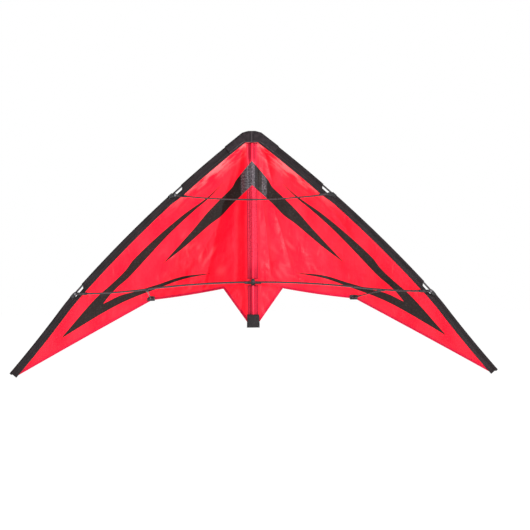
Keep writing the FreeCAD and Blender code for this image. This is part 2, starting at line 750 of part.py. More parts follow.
def mirror_point(point):
    """A point on the other side of the spine."""
    return Vector(-point.x, point.y, point.z)


def upper_rod():
    """The upper spreader, straight in its left socket and in its right cradle."""
    bow = Bow()
    left_end = mirror_point(bow.pin + bow.inward * SOCKET_START)
    right_end = bow.pin + bow.inward * SOCKET_START
    arc = Part.Arc(mirror_point(bow.start), bow.middle, bow.start).toShape()
    ring = Part.Wire(Part.makeCircle(UPPER_ROD_R, bow.start, bow.inward))
    bent = Part.Wire([arc]).makePipeShell([ring], True, False)
    rod = bent.fuse(cylinder(bow.start, right_end, UPPER_ROD_R))
    rod = rod.fuse(cylinder(mirror_point(bow.start), left_end, UPPER_ROD_R))
    return rod.removeSplitter()


def upper_fitting_left():
    """The left fitting, drawn on the right: it hinges the upper spreader."""
    pin = Bow().pin
    return fitting_bores(clamp_and_lug(UPPER_STATION, pin), UPPER_STATION, pin)


def upper_fitting_right():
    """The right fitting: the upper spreader's end rests in a cradle open down and forwards."""
    bow = Bow()
    fitting = clamp_and_lug(UPPER_STATION, bow.pin)
    radius = UPPER_ROD_R + CRADLE_GAP
    leaning = math.radians(UPPER_EXIT_ANGLE)
    exit_way = Vector(0, -math.cos(leaning), -math.sin(leaning))
    exit_way = (exit_way - bow.inward * exit_way.dot(bow.inward)).normalize()
    start = bow.pin + bow.inward * UPPER_CRADLE_START
    end = start + bow.inward * SOCKET_LENGTH
    room = cylinder(start, end, radius)
    slot = sweep_room(start, end, radius, exit_way)
    fitting = fitting.cut(room).cut(slot)
    fitting = fitting.fuse(cradle(start, end, radius, UPPER_CRADLE_WALL, exit_way))
    return fitting_bores(fitting, UPPER_STATION, None)


def sweep_room(start, end, radius, way):
    """The space that a rod sweeps as it leaves its cradle."""
    side = (end - start).normalize().cross(way) * radius
    face = polygon([start + side, end + side, end - side, start - side])
    return face.extrude(way * UPPER_SLOT_DEPTH)


# ---------------------------------------------------------------- standoffs

def standoff_points(side):
    """The pin at the sail, the centre of the clip, and the arm's direction."""
    x = STANDOFF_FOOT_X[side]
    foot = flat(x, STANDOFF_FOOT_Z, billow(x, STANDOFF_FOOT_Z, side) - FOOT_PIN_FORWARD)
    along = spreader_distance(STANDOFF_CLIP_X[side])
    clip = LOWER.point(along)
    return foot, clip, (clip - foot).normalize()


def spreader_distance(x):
    """The distance along the lower spreader at a given x."""
    return solve(LOWER.length, lambda along: LOWER.point(along).x, x)


def standoff_hinge(side):
    """The level axis that the standoff swings about."""
    _, _, arm = standoff_points(side)
    return Vector(-arm.y, arm.x, 0).normalize()


def standoff_rod(side):
    """The thin rod between the clip and the foot."""
    foot, clip, arm = standoff_points(side)
    start = foot + arm * (FOOT_EYE_R + ROD_SEAT_AT_FOOT)
    end = clip - arm * (LOWER_ROD_R + CRADLE_GAP + ROD_SEAT_AT_CLIP)
    return cylinder(start, end, STANDOFF_ROD_R)


def standoff_clip(side):
    """The clip: a cradle under the spreader and a tube that holds the thin rod."""
    _, clip, arm = standoff_points(side)
    ahead = LOWER.tangent(spreader_distance(STANDOFF_CLIP_X[side]))
    radius = LOWER_ROD_R + CRADLE_GAP
    open_way = (Z_AXIS - ahead * Z_AXIS.dot(ahead)).normalize()
    start = clip - ahead * CLIP_WIDTH / 2
    end = clip + ahead * CLIP_WIDTH / 2
    hook = cradle(start, end, radius, CLIP_WALL, open_way)
    reach = radius + ROD_SEAT_AT_CLIP + STANDOFF_TUBE_LENGTH
    arm_tube = cylinder(clip - arm * reach, clip - arm * (radius / 2), STANDOFF_TUBE_R)
    room = cylinder(clip - ahead * REACH, clip + ahead * REACH, radius)
    lid = cradle_room(clip, ahead, open_way, radius)
    bore = cylinder(clip - arm * (reach + PAST), clip - arm * (radius + ROD_SEAT_AT_CLIP),
                    STANDOFF_ROD_R + SEAT_GAP)
    return arm_tube.cut(room).cut(lid).fuse(hook).cut(bore).removeSplitter()


def cradle_room(middle, ahead, open_way, radius):
    """The straight way out of a cradle, which the arm's tube leaves clear."""
    side = ahead.cross(open_way).normalize() * (radius + CLIP_MOUTH_ROOM)
    start = middle - ahead * REACH / 2
    end = middle + ahead * REACH / 2
    return polygon([start + side, end + side, end - side, start - side]).extrude(open_way * REACH)


def standoff_foot(side):
    """The foot: an eye on the sail pin and a tube that holds the thin rod."""
    foot, _, arm = standoff_points(side)
    hinge = standoff_hinge(side)
    eye = cylinder(foot - hinge * FOOT_EYE_HALF, foot + hinge * FOOT_EYE_HALF, FOOT_EYE_R)
    barrel = cylinder(foot, foot + arm * (FOOT_EYE_R + STANDOFF_TUBE_LENGTH), FOOT_TUBE_R)
    bore = cylinder(foot + arm * (FOOT_EYE_R + ROD_SEAT_AT_FOOT), foot + arm * REACH,
                    STANDOFF_ROD_R + SEAT_GAP)
    hole = cylinder(foot - hinge * REACH, foot + hinge * REACH, FOOT_PIN_R + PIN_GAP)
    return eye.fuse(barrel).cut(bore).cut(hole).removeSplitter()


def sail_jaw(side, cloth):
    """The jaw riveted to the trailing edge, with two ears for the standoff's pin."""
    foot, _, _ = standoff_points(side)
    hinge = standoff_hinge(side)
    level = Vector(-hinge.y, hinge.x, 0)
    ears = []
    for way in (-1, 1):
        near = FOOT_EYE_HALF + EAR_GAP
        base = foot + hinge * way * near
        tip = base + hinge * way * EAR_THICKNESS
        ears.append(cylinder(base, tip, FOOT_EYE_R))
        slope = level * (FOOT_PIN_FORWARD + JAW_FRONT)
        web = polygon([base + Z_AXIS * FOOT_EYE_R, base - Z_AXIS * FOOT_EYE_R,
                       base - Z_AXIS * FOOT_EYE_R + slope, base + Z_AXIS * FOOT_EYE_R + slope])
        ears.append(web.extrude(tip - base))
    width, height = JAW_SIZE
    depth = JAW_FRONT + SAIL_THICKNESS + JAW_BACK + JAW_SLOPE_ROOM
    front = foot.y + FOOT_PIN_FORWARD - JAW_FRONT - JAW_FRONT_ROOM
    block = Part.makeBox(width, depth, height,
                         Vector(foot.x - width / 2, front, foot.z - height * JAW_BELOW_PIN))
    upright = [edge for edge in block.Edges if abs(edge.Length - depth) < CLOSE]
    block = block.makeFillet(JAW_ROUNDING, upright)
    room = hinge * (FOOT_EYE_HALF + EAR_GAP)
    sweep = cylinder(foot - room, foot + room, FOOT_EYE_R + JAW_SWEEP_ROOM)
    jaw = block.fuse(ears).cut(sweep)
    hole = cylinder(foot - hinge * REACH, foot + hinge * REACH, FOOT_PIN_R + SEAT_GAP)
    jaw = jaw.cut(hole).cut(cloth)
    solids = sorted(jaw.Solids, key=lambda solid: solid.Volume)
    return solids[-1]


def jaw_pin(side):
    """The short pin through the jaw's ears."""
    foot, _, _ = standoff_points(side)
    hinge = standoff_hinge(side)
    half = FOOT_EYE_HALF + EAR_GAP + EAR_THICKNESS + JAW_PIN_PROUD
    return cylinder(foot - hinge * half, foot + hinge * half, FOOT_PIN_R)


# ---------------------------------------------------------------- assembly

def keel_parts():
    """The pieces on the spine."""
    return {
        "spine_rod": spine_rod(),
        "spine_nose_cap": spine_cap(SPINE_TOP_Z, Z_AXIS),
        "spine_tail_cap": spine_cap(SPINE_TAIL_Z, Z_AXIS * -1),
        "spine_pocket": spine_pocket(),
        "nose_patch": nose_patch(),
        "tail_patch": tail_patch(),
        "centre_tee": centre_tee(),
    }


def wing_parts(side):
    """The pieces of one wing and of the spreader and standoff that it carries."""
    upper, lower = edge_rods()
    cloth = sail(side)
    parts = {
        "upper_edge_rod": upper,
        "lower_edge_rod": lower,
        "edge_ferrule": edge_ferrule(),
        "edge_nose_cap": edge_nose_cap(),
        "edge_tip_cap": edge_tip_cap(),
        "edge_sleeve": edge_sleeve(),
        "sail": cloth,
        "lower_fitting": lower_fitting(),
        "lower_hinge_pin": hinge_pin(lower_pin()),
        "sail_jaw": sail_jaw(side, cloth),
        "sail_jaw_pin": jaw_pin(side),
        "lower_spreader_rod": lower_rod(),
        "lower_socket": socket(lower_pin(), LOWER.tangent(LOWER.length) * -1, LOWER_ROD_R),
        "standoff_rod": standoff_rod(side),
        "standoff_clip": standoff_clip(side),
        "standoff_foot": standoff_foot(side),
    }
    return {f"{side}_{name}": mirrored(shape, side) for name, shape in parts.items()}


def upper_parts():
    """The upper spreader and the two fittings that carry it."""
    bow = Bow()
    return {
        "upper_spreader_rod": upper_rod(),
        "upper_socket": mirrored(socket(bow.pin, bow.inward, UPPER_ROD_R), "left"),
        "upper_hinge_pin": mirrored(hinge_pin(bow.pin), "left"),
        "left_upper_fitting": mirrored(upper_fitting_left(), "left"),
        "right_upper_fitting": upper_fitting_right(),
    }


def main():
    """Write one STEP file for each piece."""
    os.makedirs("parts", exist_ok=True)
    parts = keel_parts()
    parts.update(wing_parts("left"))
    parts.update(wing_parts("right"))
    parts.update(upper_parts())
    for name, shape in parts.items():
        if shape.ShapeType == "Compound" and len(shape.Solids) == 1:
            shape = shape.Solids[0]
        shape.exportStep(f"parts/{name}.step")
        print(f"{name:28s} solids {len(shape.Solids)} valid {shape.isValid()} volume {shape.Volume:9.1f}")


main()
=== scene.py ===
"""Two-line delta kite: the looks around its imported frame. Design dimensions are in millimetres.

Each sail half, sleeve and patch is a sheet made here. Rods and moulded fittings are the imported
nodes with better materials. Every sheet carries a UV map in metres of its own flat cloth.
"""

import math

import bmesh
import bpy
import numpy as np
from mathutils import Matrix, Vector, noise


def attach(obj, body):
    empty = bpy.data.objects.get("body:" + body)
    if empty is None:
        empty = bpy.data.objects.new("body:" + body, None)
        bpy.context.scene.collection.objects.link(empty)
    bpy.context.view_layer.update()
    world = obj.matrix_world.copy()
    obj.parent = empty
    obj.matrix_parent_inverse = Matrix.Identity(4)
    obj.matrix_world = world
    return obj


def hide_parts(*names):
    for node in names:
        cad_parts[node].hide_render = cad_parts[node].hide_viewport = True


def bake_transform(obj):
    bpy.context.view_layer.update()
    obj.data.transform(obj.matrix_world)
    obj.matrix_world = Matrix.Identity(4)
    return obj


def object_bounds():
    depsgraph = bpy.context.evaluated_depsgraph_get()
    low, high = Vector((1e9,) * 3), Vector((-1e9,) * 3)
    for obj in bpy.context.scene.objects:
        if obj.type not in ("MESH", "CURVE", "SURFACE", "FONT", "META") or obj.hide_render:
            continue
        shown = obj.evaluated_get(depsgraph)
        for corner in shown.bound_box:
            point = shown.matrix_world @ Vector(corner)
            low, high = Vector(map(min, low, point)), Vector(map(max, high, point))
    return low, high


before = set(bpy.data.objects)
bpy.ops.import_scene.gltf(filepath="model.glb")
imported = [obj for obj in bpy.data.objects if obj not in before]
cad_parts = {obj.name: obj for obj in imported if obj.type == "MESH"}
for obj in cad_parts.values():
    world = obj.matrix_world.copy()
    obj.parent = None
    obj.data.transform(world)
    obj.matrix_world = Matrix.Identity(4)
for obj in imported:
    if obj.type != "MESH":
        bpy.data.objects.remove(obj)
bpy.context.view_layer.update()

MM = 0.001
SIDES = {"left": -1, "right": 1}

# Outer line of the right leading edge, as in the frame
EDGE_START = (24.8, 399.5)
EDGE_START_ANGLE = 37.9
EDGE_RUNS = [(615.0, 10.0), (70.0, 5.0), (212.0, -3.8)]
UPPER_STATION = 256.0
LOWER_STATION = 632.0
NOTCH_BEFORE = 40.0
NOTCH_AFTER = 7.2
NOTCH_DEPTH = 11.0
NOTCH_CHAMFER = 5.5
CLAMP_HALF_LENGTH = 7.0
CLAMP_INWARD = 8.5
SLEEVE_WIDTH = 22.0

# Billow of the sail, as in the frame
NOSE_APEX_Z = 404.0
STANDOFF_DEPTH = {"left": 87.0, "right": 50.0}
STANDOFF_FOOT_X = {"left": 279.0, "right": 272.0}
STANDOFF_FOOT_Z = -44.0
RIDGE_ROUNDING = 0.22
CONE_LEAST = 0.1
SLEEVE_EASING = 5.0
SEWN_TO_SPINE = (12.0, 30.0)
SAIL_AT_SPINE = 3.1
TINY = 1e-6

# Cut of the sail
CLOTH_UNDER_SLEEVE = 19.0
CLOTH_TOP_Z = 386.0
CLOTH_TAIL_Z = -106.0
CLOTH_TAIL_X = 17.0
CLOTH_TIP_SETBACK = 2.0
TAIL_NOTCH = (80.0, -17.5)
TRAILING_MIDDLE = (170.0, -33.5)
TRAILING_FOOT = (276.0, -47.5)
TRAILING_BULGE = (455.0, -146.0)
MIDDLE_ARC_POINTS = 40
OUTER_ARC_POINTS = 60
CLOTH_COLUMNS = 210
CLOTH_ROWS = 250
CLOTH_THICKNESS = 0.3

# Black pattern of the sail, as outlines on the right half
CHEVRON = [(-12, 337), (0, 325), (43, 274), (54, 255), (80, 230), (120, 190), (157, 147), (243, 53),
           (184, 98), (116, 156), (86, 178), (59, 206), (31, 232), (0, 260), (-12, 270)]
STRIPE = [(80, 265), (124, 227), (187, 182), (254, 126), (321, 63), (343, 34), (378, 0), (427, -44),
          (517, -147), (410, -82), (345, -48), (256, -14), (191, 9), (112, 24), (191, 16), (256, -4),
          (323, -24), (360, -34), (407, -57), (386, -31), (364, -9), (338, 13), (287, 67), (220, 137),
          (153, 198), (124, 222)]
SHARP_POINT = 0.2

# Folds of the cloth: start, end, height backwards and half width; "sharp" ones have a crease
LEFT_FOLDS = [
    ((40, 330), (143, -30), 11.0, 34.0, "sharp"),
    ((17, 372), (45, 272), 3.0, 8.0, "soft"),
    ((34, 235), (42, 5), 4.2, 9.0, "soft"),
    ((20, 215), (21, 15), -1.6, 5.0, "soft"),
    ((95, 150), (150, 60), 2.0, 9.0, "sharp"),
    ((120, 120), (185, 30), 2.0, 8.0, "sharp"),
    ((150, 92), (205, 52), -2.2, 9.0, "sharp"),
    ((150, 170), (225, 90), -1.5, 12.0, "soft"),
    ((330, 60), (430, -60), 2.0, 12.0, "soft"),
    ((270, 2), (330, -20), 2.0, 8.0, "sharp"),
    ((22, -30), (36, -84), 2.0, 5.0, "sharp"),
    ((40, -16), (66, -40), -1.8, 6.0, "sharp"),
]
RIGHT_FOLDS = [
    ((28, 372), (54, 275), 5.0, 7.0, "sharp"),
    ((44, 345), (78, 262), -3.2, 9.0, "soft"),
    ((26, 225), (50, 20), 5.0, 7.0, "sharp"),
    ((56, 205), (106, 40), 5.0, 9.0, "sharp"),
    ((84, 190), (150, 30), -1.8, 12.0, "soft"),
    ((212, 195), (268, 118), 3.6, 8.0, "soft"),
    ((150, 90), (176, 30), 2.0, 9.0, "sharp"),
    ((296, 18), (306, -8), 1.6, 6.0, "soft"),
    ((90, 22), (150, 4), 2.0, 7.0, "sharp"),
    ((24, -20), (52, -52), 2.2, 6.0, "sharp"),
    ((22, -44), (34, -84), 1.8, 5.0, "soft"),
]
FOLDS = {"left": LEFT_FOLDS, "right": RIGHT_FOLDS}
FOLD_SWAY = 0.12
FOLD_SWAY_TURN = 5.0
FOLD_RISES = (-0.1, 0.3)
FOLD_DIES = (0.8, 1.15)
CREASE_R = 1.2

# Slack of the cloth: height, size and seed; it dies away where the cloth is held
SLACK = [(2.2, 70.0, 3.0), (0.9, 26.0, 10.0), (0.35, 9.0, 14.0)]
FREE_OF_SLEEVE = (1.0, 18.0)
FREE_OF_SPINE = (15.0, 30.0)
FREE_OF_FOOT = (12.0, 45.0)

# Creases of the crumpled cloth: height, stretch down the sail, size and seed
CREASES = [(2.4, 0.7, 52.0, 40.0), (1.3, 0.8, 23.0, 43.0)]
CRUMPLE_MIDDLE = {"left": (165, 50), "right": (110, 50)}
CRUMPLE_REACH = 130.0
CRUMPLE_FADE = (0.3, 1.0)
CRUMPLE_LEAST = 0.3
CRUMPLE_SEED_STEP = 5

# Painted sheen: pale leaning streaks painted as highlights on the crumpled cloth, and a grey sheen painted
# on the print beside the spine
SHEEN_SEED = 70.0
SHEEN_FADE = (0.25, 0.9)
SHEEN_SHARE = {"left": 0.5, "right": 0.28}
STREAK_LEAN = math.radians(33)
STREAK_STRETCH = 0.36
STREAK_WIDTH = 13.0
STREAK_LEVELS = (-0.1, 0.8)
PATCH_WIDTH = 46.0
PATCH_LEVELS = (-0.4, 0.5)
# where grey sheen is painted on the print: from, to and strength
PRINT_SHEEN = {"left": (-10.0, 30.0, 1.0), "right": (26.0, 39.0, 0.7)}
PRINT_SHEEN_BLUR = 1.5
EDGE_SLOPE = math.radians(40.0)

# Unevenness of the sewn pieces: height, size and seed
UNEVENNESS = {
    "sleeve ease": (0.21, 22.0, 20.0),
    "pocket ruck": (0.25, 14.0, 31.0),
    "pocket edge": (0.4, 25.0, 37.0),
    "tail edge": (0.25, 4.0, 51.0),
    "tail fuzz": (0.12, 2.0, 57.0),
    "nose ease": (0.25, 12.0, 61.0),
}

# Sleeves
SLEEVE_UPPER_WIDTH = 25.0
SLEEVE_LOWER_WIDTH = 21.5
SLEEVE_ROD_DEPTH = 3.6
SLEEVE_ROUND_R = 3.6
SLEEVE_ROUND_ENDS = SLEEVE_ROD_DEPTH + 0.5
SLEEVE_LAP_START = 10.0
SLEEVE_LAP_HALF = 0.75
SLEEVE_THICKNESS = 0.4
SLEEVE_NARROWS = (UPPER_STATION - 30.0, UPPER_STATION + 20.0)
SLEEVE_EASES = (5.0, 12.0)
SLEEVE_STATIONS = 220
NOTCH_MARGIN = 3.0
NOTCH_STATIONS = 8
CHAMFER_STATIONS = 5
LAP_POINTS = 9
ROUND_POINTS = 19

# Spine pocket
POCKET_HALF_WIDTH = 14.4
POCKET_ROUND_R = 3.3
POCKET_STITCH_X = 6.6
POCKET_TOP_Z = 373.0
POCKET_TAIL_Z = -104.0
TEE_WINDOW = (-9.0, 8.5)
POCKET_THICKNESS = 0.4
POCKET_LIFT = 0.55
POCKET_SLOPE = 0.62
POCKET_SLOPE_STARTS = 0.3
POCKET_RUCKS = (2.0, 9.0)
POCKET_EDGE_WAVES = (10.0, 14.0)
POCKET_ROW_PITCH = 3.0
POCKET_EDGES_APART = 50
FLANGE_POINTS = 7
CROWN_POINTS = 25

# Tail patch
TAIL_PATCH_HALF = 16.5
TAIL_PATCH_TOP_Z = -86.8
TAIL_PATCH_LOW_Z = -121.4
TAIL_PATCH_FRONT_Y = -4.0
TAIL_PATCH_BACK_Y = 4.3
TAIL_PATCH_CORNER_R = 1.6
TAIL_PATCH_THICKNESS = 1.1
TAIL_FLARE = 0.5
TAIL_FLARES = (8.0, 16.5)
TAIL_CROWN = 0.5
TAIL_CROWN_FALLS = (3.0, 9.0)
TAIL_CURL = 0.8
TAIL_CURLS = (9.0, 16.5)
TAIL_RAGGED = (14.0, 16.5)
TAIL_EDGES_APART = 30
TAIL_PATCH_COLUMNS = 31
TAIL_PATCH_ROWS = 22
CORNER_POINTS = 6

# Nose patch
NOSE_HALF_TOP = 9.5
NOSE_TOP_Z = 405.0
NOSE_EDGE_LENGTH = 60.0
NOSE_LOWER_Z = 374.4
NOSE_HALF_LOWER = 20.0
NOSE_HALF_DEPTH = 4.9
NOSE_PROUD = 1.3
NOSE_OVERLAP = 0.5
NOSE_THICKNESS = 0.9
NOSE_ROUND_LENGTH = 7.0
NOSE_THINNING = 0.18
NOSE_THINS = (10.0, 18.0)
NOSE_BACK_SHIFT = 60.0
NOSE_FOLD_SHARE = 0.1
NOSE_ROW_CROWDING = 1.6
NOSE_COLUMNS = 44
NOSE_ROWS = 41

# Colours as display values of 0 to 255; a "pale" one is mixed in by the material's own blotches
PALETTE = {
    "sail": (246, 0, 36),
    "sail pale": (255, 26, 48),
    # painted highlight
    "sail sheen streak": (255, 84, 90),
    # painted highlight
    "sail painted glint": (255, 118, 120),
    # painted highlight of the crumpled cloth
    "sail painted sheen": (255, 104, 110),
    "sail grid": (196, 0, 24),
    "hem": (196, 0, 48),
    "hem rim": (170, 0, 46),
    "hem thread": (150, 0, 18),
    "ink": (24, 14, 12),
    "ink pale": (44, 34, 32),
    # painted sheen on the print
    "ink sheen": (122, 116, 120),
    # painted grey sheen on the print beside the spine, and its pale speckles
    "ink grey sheen": (58, 50, 54),
    "ink grey sheen pale": (108, 102, 108),
    "pocket": (240, 22, 54),
    "pocket pale": (250, 60, 84),
    "pocket rubbed": (176, 4, 40),
    "pocket rubbed pale": (222, 46, 72),
    "pocket beside rod": (176, 0, 42),
    "pocket rim": (170, 0, 38),
    "pocket thread": (128, 0, 32),
    # the pocket's print with painted grey sheen, and its pale speckles
    "pocket ink and sheen": (56, 49, 53),
    "pocket ink and sheen pale": (112, 106, 112),
    "pocket ink and sheen shaded": (30, 24, 26),
    "sleeve": (22, 16, 18),
    "sleeve pale": (38, 31, 34),
    "sleeve weave": (52, 46, 48),
    "sleeve thread": (92, 86, 88),
    "sleeve rubbed": (110, 104, 106),
    "webbing": (28, 22, 26),
    "webbing pale": (48, 40, 44),
    "webbing ribs": (66, 60, 64),
    # painted highlight
    "webbing ridge highlight": (92, 84, 88),
    "webbing thread": (104, 98, 100),
    "loop": (26, 23, 24),
    "loop pale": (50, 46, 47),
    "loop tufts": (62, 58, 59),
    "loop rim": (28, 25, 26),
    "loop rim pale": (56, 52, 54),
    "loop thread": (24, 22, 23),
    "rod": (30, 26, 28),
    "rod pale": (56, 50, 54),
    "rod scuffs": (96, 90, 94),
    "moulded": (13, 12, 13),
    "moulded pale": (27, 25, 27),
    "moulded high": (86, 83, 86),
    "rubber": (24, 23, 24),
    "rubber dust": (78, 75, 74),
    "steel": (112, 108, 112),
    "ferrule": (196, 198, 202),
}

# Details of the materials, as metres or shares; the first three are distances on the sail in mm
HEM_BAND = (6.0, 9.0)
HEM_RIM = (4.4, 6.6)
GLINT_REACH = (3.0, 38.0)
GLINT_HEIGHTS = (0.16, 0.34)
GLINT_STRETCH = 0.22
# least painted grey sheen on the print
LEAST_PRINT_SHEEN = 0.04
RIPSTOP_GRID = (0.005, 0.0007)
RIB_PITCH = 0.0016
ZIGZAG_WIDTH = 0.005
STAIN_DULLS = 0.72
LINE_RIM = (0.4, 0.6)

# Sockets for colours on the node that mixes them
MIX_FIRST = 6
MIX_SECOND = 7
MIX_OUT = 2
STITCH_GAP = (0.1, 0.16)

# Rows of stitches: distance to the middle of the thread, its width and the stitches' pitch.
# The hem's distance and width are in mm, like the distances on the sail
HEM_ROW = (6.0, 0.8, 0.0032)
POCKET_INNER_ROW = (0.0068, 0.0012, 0.004)
POCKET_OUTER_ROW = (0.0122, 0.0018, 0.0055)
SLEEVE_OUTER_ROW = (0.0022, 0.0008, 0.0034)
SLEEVE_INNER_ROW = (0.0068, 0.0008, 0.0034)
NOSE_ROW = (0.003, 0.0009, 0.0034)
TAIL_ROW = (0.0033, 0.0009, 0.003)

# Studio, in metres
CAMERA_PLACE = (0.0327, -5.0, 0.0456)
CAMERA_LENS = 126.7
CAMERA_SENSOR = 36.0
CAMERA_REACH = 100.0
CAMERA_ROLL = math.radians(0.47)
WHITE = (1, 1, 1, 1)
FLOOR_DROP = 0.36
FLOOR_SIZE = 40.0
FLOOR_ROUGHNESS = 0.9
FLOOR_GLOW = 0.82
FLOOR_GREYS = ((0.9, 0.9, 0.9, 1), (0.94, 0.94, 0.94, 1))
SURROUND_LIGHT = 0.22
LIGHT_AIM = (0, 0, 0.1)
LIGHTS = [("key", (3.4, -2.5, 1.4), 1.0, 215), ("bounce", (-0.6, -2.6, -0.2), 1.6, 34),
          ("back", (0.5, 3.4, 2.2), 2.4, 80)]


# ---------------------------------------------------------------- lines and numbers

class EdgeLine:
    """The leading edge's outer line, as runs of arc in the wing plane."""

    def __init__(self, start, angle, runs):
        self.runs = []
        x, z = start
        heading = math.radians(angle)
        passed = 0.0
        for length, turn in runs:
            turn = math.radians(turn)
            self.runs.append((passed, x, z, heading, length, turn))
            radius = length / turn
            x += radius * (math.sin(heading + turn) - math.sin(heading))
            z -= radius * (math.cos(heading) - math.cos(heading + turn))
            heading += turn
            passed += length
        self.length = passed

    def at(self, distance, inward=0.0):
        """Points at distances along the line, moved inward across it."""
        distance, inward = np.broadcast_arrays(np.asarray(distance, float), inward)
        x = np.zeros(distance.shape)
        z = np.zeros(distance.shape)
        for passed, start_x, start_z, heading, length, turn in self.runs:
            here = distance >= passed if passed else np.ones(distance.shape, bool)
            angle = heading + turn * (distance - passed) / length
            radius = length / turn
            across = radius * (np.sin(angle) - math.sin(heading)) - inward * np.sin(angle)
            down = radius * (math.cos(heading) - np.cos(angle)) + inward * np.cos(angle)
            x = np.where(here, start_x + across, x)
            z = np.where(here, start_z - down, z)
        return x, z

    def gap(self, x, z, inward=0.0):
        """How far points are inside the line; it is negative outside it."""
        least = np.full(x.shape, np.inf)
        inside = np.zeros(x.shape)
        for passed, start_x, start_z, heading, length, turn in self.runs:
            radius = length / turn
            sign = math.copysign(1.0, radius)
            arm_x = x - (start_x - math.sin(heading) * radius)
            arm_z = z - (start_z - math.cos(heading) * radius)
            along = (np.arctan2(sign * arm_x, sign * arm_z) - heading) * radius
            miss = np.maximum(along - length, 0.0)
            if passed:
                miss = np.maximum(miss, -along)
            here = sign * (abs(radius) - np.hypot(arm_x, arm_z)) - inward
            inside = np.where(miss < least, here, inside)
            least = np.minimum(miss, least)
        return inside


EDGE = EdgeLine(EDGE_START, EDGE_START_ANGLE, EDGE_RUNS)


def smooth_step(low, high, value):
    """0 below low, 1 above high, and smooth between."""
    share = np.clip((np.asarray(value, float) - low) / (high - low), 0, 1)
    return share * share * (3 - 2 * share)


def smooth_least(first, second, rounding):
    """The lesser of two numbers, with the corner between them rounded off."""
    return (first + second - np.hypot(first - second, rounding)) / 2


def arc_through(first, middle, last, count):
    """Points of the circle through three points, from the first to the last."""
    (ax, az), (bx, bz), (cx, cz) = first, middle, last
    area = 2 * (ax * (bz - cz) + bx * (cz - az) + cx * (az - bz))
    squares = [ax * ax + az * az, bx * bx + bz * bz, cx * cx + cz * cz]
    centre_x = (squares[0] * (bz - cz) + squares[1] * (cz - az) + squares[2] * (az - bz)) / area
    centre_z = (squares[0] * (cx - bx) + squares[1] * (ax - cx) + squares[2] * (bx - ax)) / area
    radius = math.hypot(ax - centre_x, az - centre_z)
    start = math.atan2(az - centre_z, ax - centre_x)
    turn = math.remainder(math.atan2(cz - centre_z, cx - centre_x) - start, 2 * math.pi)
    angles = start + turn * np.linspace(0, 1, count)
    return list(zip(centre_x + radius * np.cos(angles), centre_z + radius * np.sin(angles)))


def rounded(outline, steps=6):
    """A closed outline smoothed through its own points, with its sharp points kept."""
    count = len(outline)
    made = []
    for i in range(count):
        before, here, after, beyond = (np.array(outline[(i + k) % count], float) for k in (-1, 0, 1, 2))
        run_in = np.linalg.norm(here - before)
        span = np.linalg.norm(after - here)
        run_out = np.linalg.norm(beyond - after)
        leave = (after - before) * span / (span + run_in)
        arrive = (beyond - here) * span / (run_out + span)
        if (after - here) @ (here - before) < SHARP_POINT * span * run_in:
            leave = after - here
        if (beyond - after) @ (after - here) < SHARP_POINT * span * run_out:
            arrive = after - here
        for t in np.linspace(0, 1, steps, endpoint=False):
            made.append((2 * t**3 - 3 * t**2 + 1) * here + (t**3 - 2 * t**2 + t) * leave
                        + (3 * t**2 - 2 * t**3) * after + (t**3 - t**2) * arrive)
    return np.array(made)


def distance_to(points, line):
    """The shortest distance from each point to a line of straight runs."""
    best = np.full(len(points), np.inf)
    for first, last in zip(line, line[1:]):
        run = last - first
        along = np.clip((points - first) @ run / (run @ run), 0, 1)
        best = np.minimum(best, np.linalg.norm(points - first - along[:, None] * run, axis=1))
    return best


def inside_by(points, outline):
    """Distance to a closed outline, positive inside it."""
    closed = np.vstack([outline, outline[:1]])
    crossed = np.zeros(len(points), bool)
    for (ax, az), (bx, bz) in zip(closed, closed[1:]):
        spans = (az > points[:, 1]) != (bz > points[:, 1])
        if spans.any():
            at = ax + (points[:, 1] - az) * (bx - ax) / (bz - az if bz != az else 1.0)
            crossed ^= spans & (points[:, 0] < at)
    return np.where(crossed, 1, -1) * distance_to(points, closed)


def wander(x, z, size, seed):
    """Smooth random numbers from -1 to 1 that change over a given size."""
    values = [noise.noise(Vector((a / size, b / size, seed))) for a, b in zip(x.ravel(), z.ravel())]
    return np.array(values).reshape(x.shape)


def uneven(kind, x, z, seed_step=0):
    """How far one kind of unevenness moves points."""
    height, size, seed = UNEVENNESS[kind]
    return height * wander(x, z, size, seed + seed_step)


def lengths_of(line):
    """The length of a line from its start to each of its points."""
    return np.concatenate([[0], np.cumsum(np.hypot(*np.diff(line, axis=0).T))])


def flat_pair(across, along):
    """Flat points from two grids of numbers."""
    return np.stack([across.ravel(), along.ravel()], axis=1)


# ---------------------------------------------------------------- meshes

def grid_faces(rows, columns, keep=None):
    """Faces of a grid whose points are stored row by row."""
    faces = []
    for row in range(rows - 1):
        for column in range(columns - 1):
            if keep is not None and not keep(row, column):
                continue
            first = row * columns + column
            faces.append((first, first + 1, first + columns + 1, first + columns))
    return faces


def flat_mesh(name, points, faces, flat_uv, marks):
    """A mesh of points in metres, with its flat cloth as the UV map and numbers on its points."""
    mesh = bpy.data.meshes.new(name)
    mesh.from_pydata([tuple(p) for p in points], [], faces)
    layer = mesh.uv_layers.new(name="flat_cloth")
    corners = np.zeros(len(mesh.loops), np.int32)
    mesh.loops.foreach_get("vertex_index", corners)
    layer.data.foreach_set("uv", (flat_uv[corners] * MM).astype(np.float32).ravel())
    for mark, values in marks.items():
        attribute = mesh.attributes.new(mark, "FLOAT", "POINT")
        attribute.data.foreach_set("value", np.asarray(values, np.float32))
    mesh.polygons.foreach_set("use_smooth", [True] * len(mesh.polygons))
    mesh.update()
    return mesh


def drop_loose(mesh):
    """Removes points that no face uses."""
    used = {v for polygon in mesh.polygons for v in polygon.vertices}
    if len(used) == len(mesh.vertices):
        return
    work = bmesh.new()
    work.from_mesh(mesh)
    bmesh.ops.delete(work, geom=[v for v in work.verts if not v.link_faces], context="VERTS")
    work.to_mesh(mesh)
    work.free()


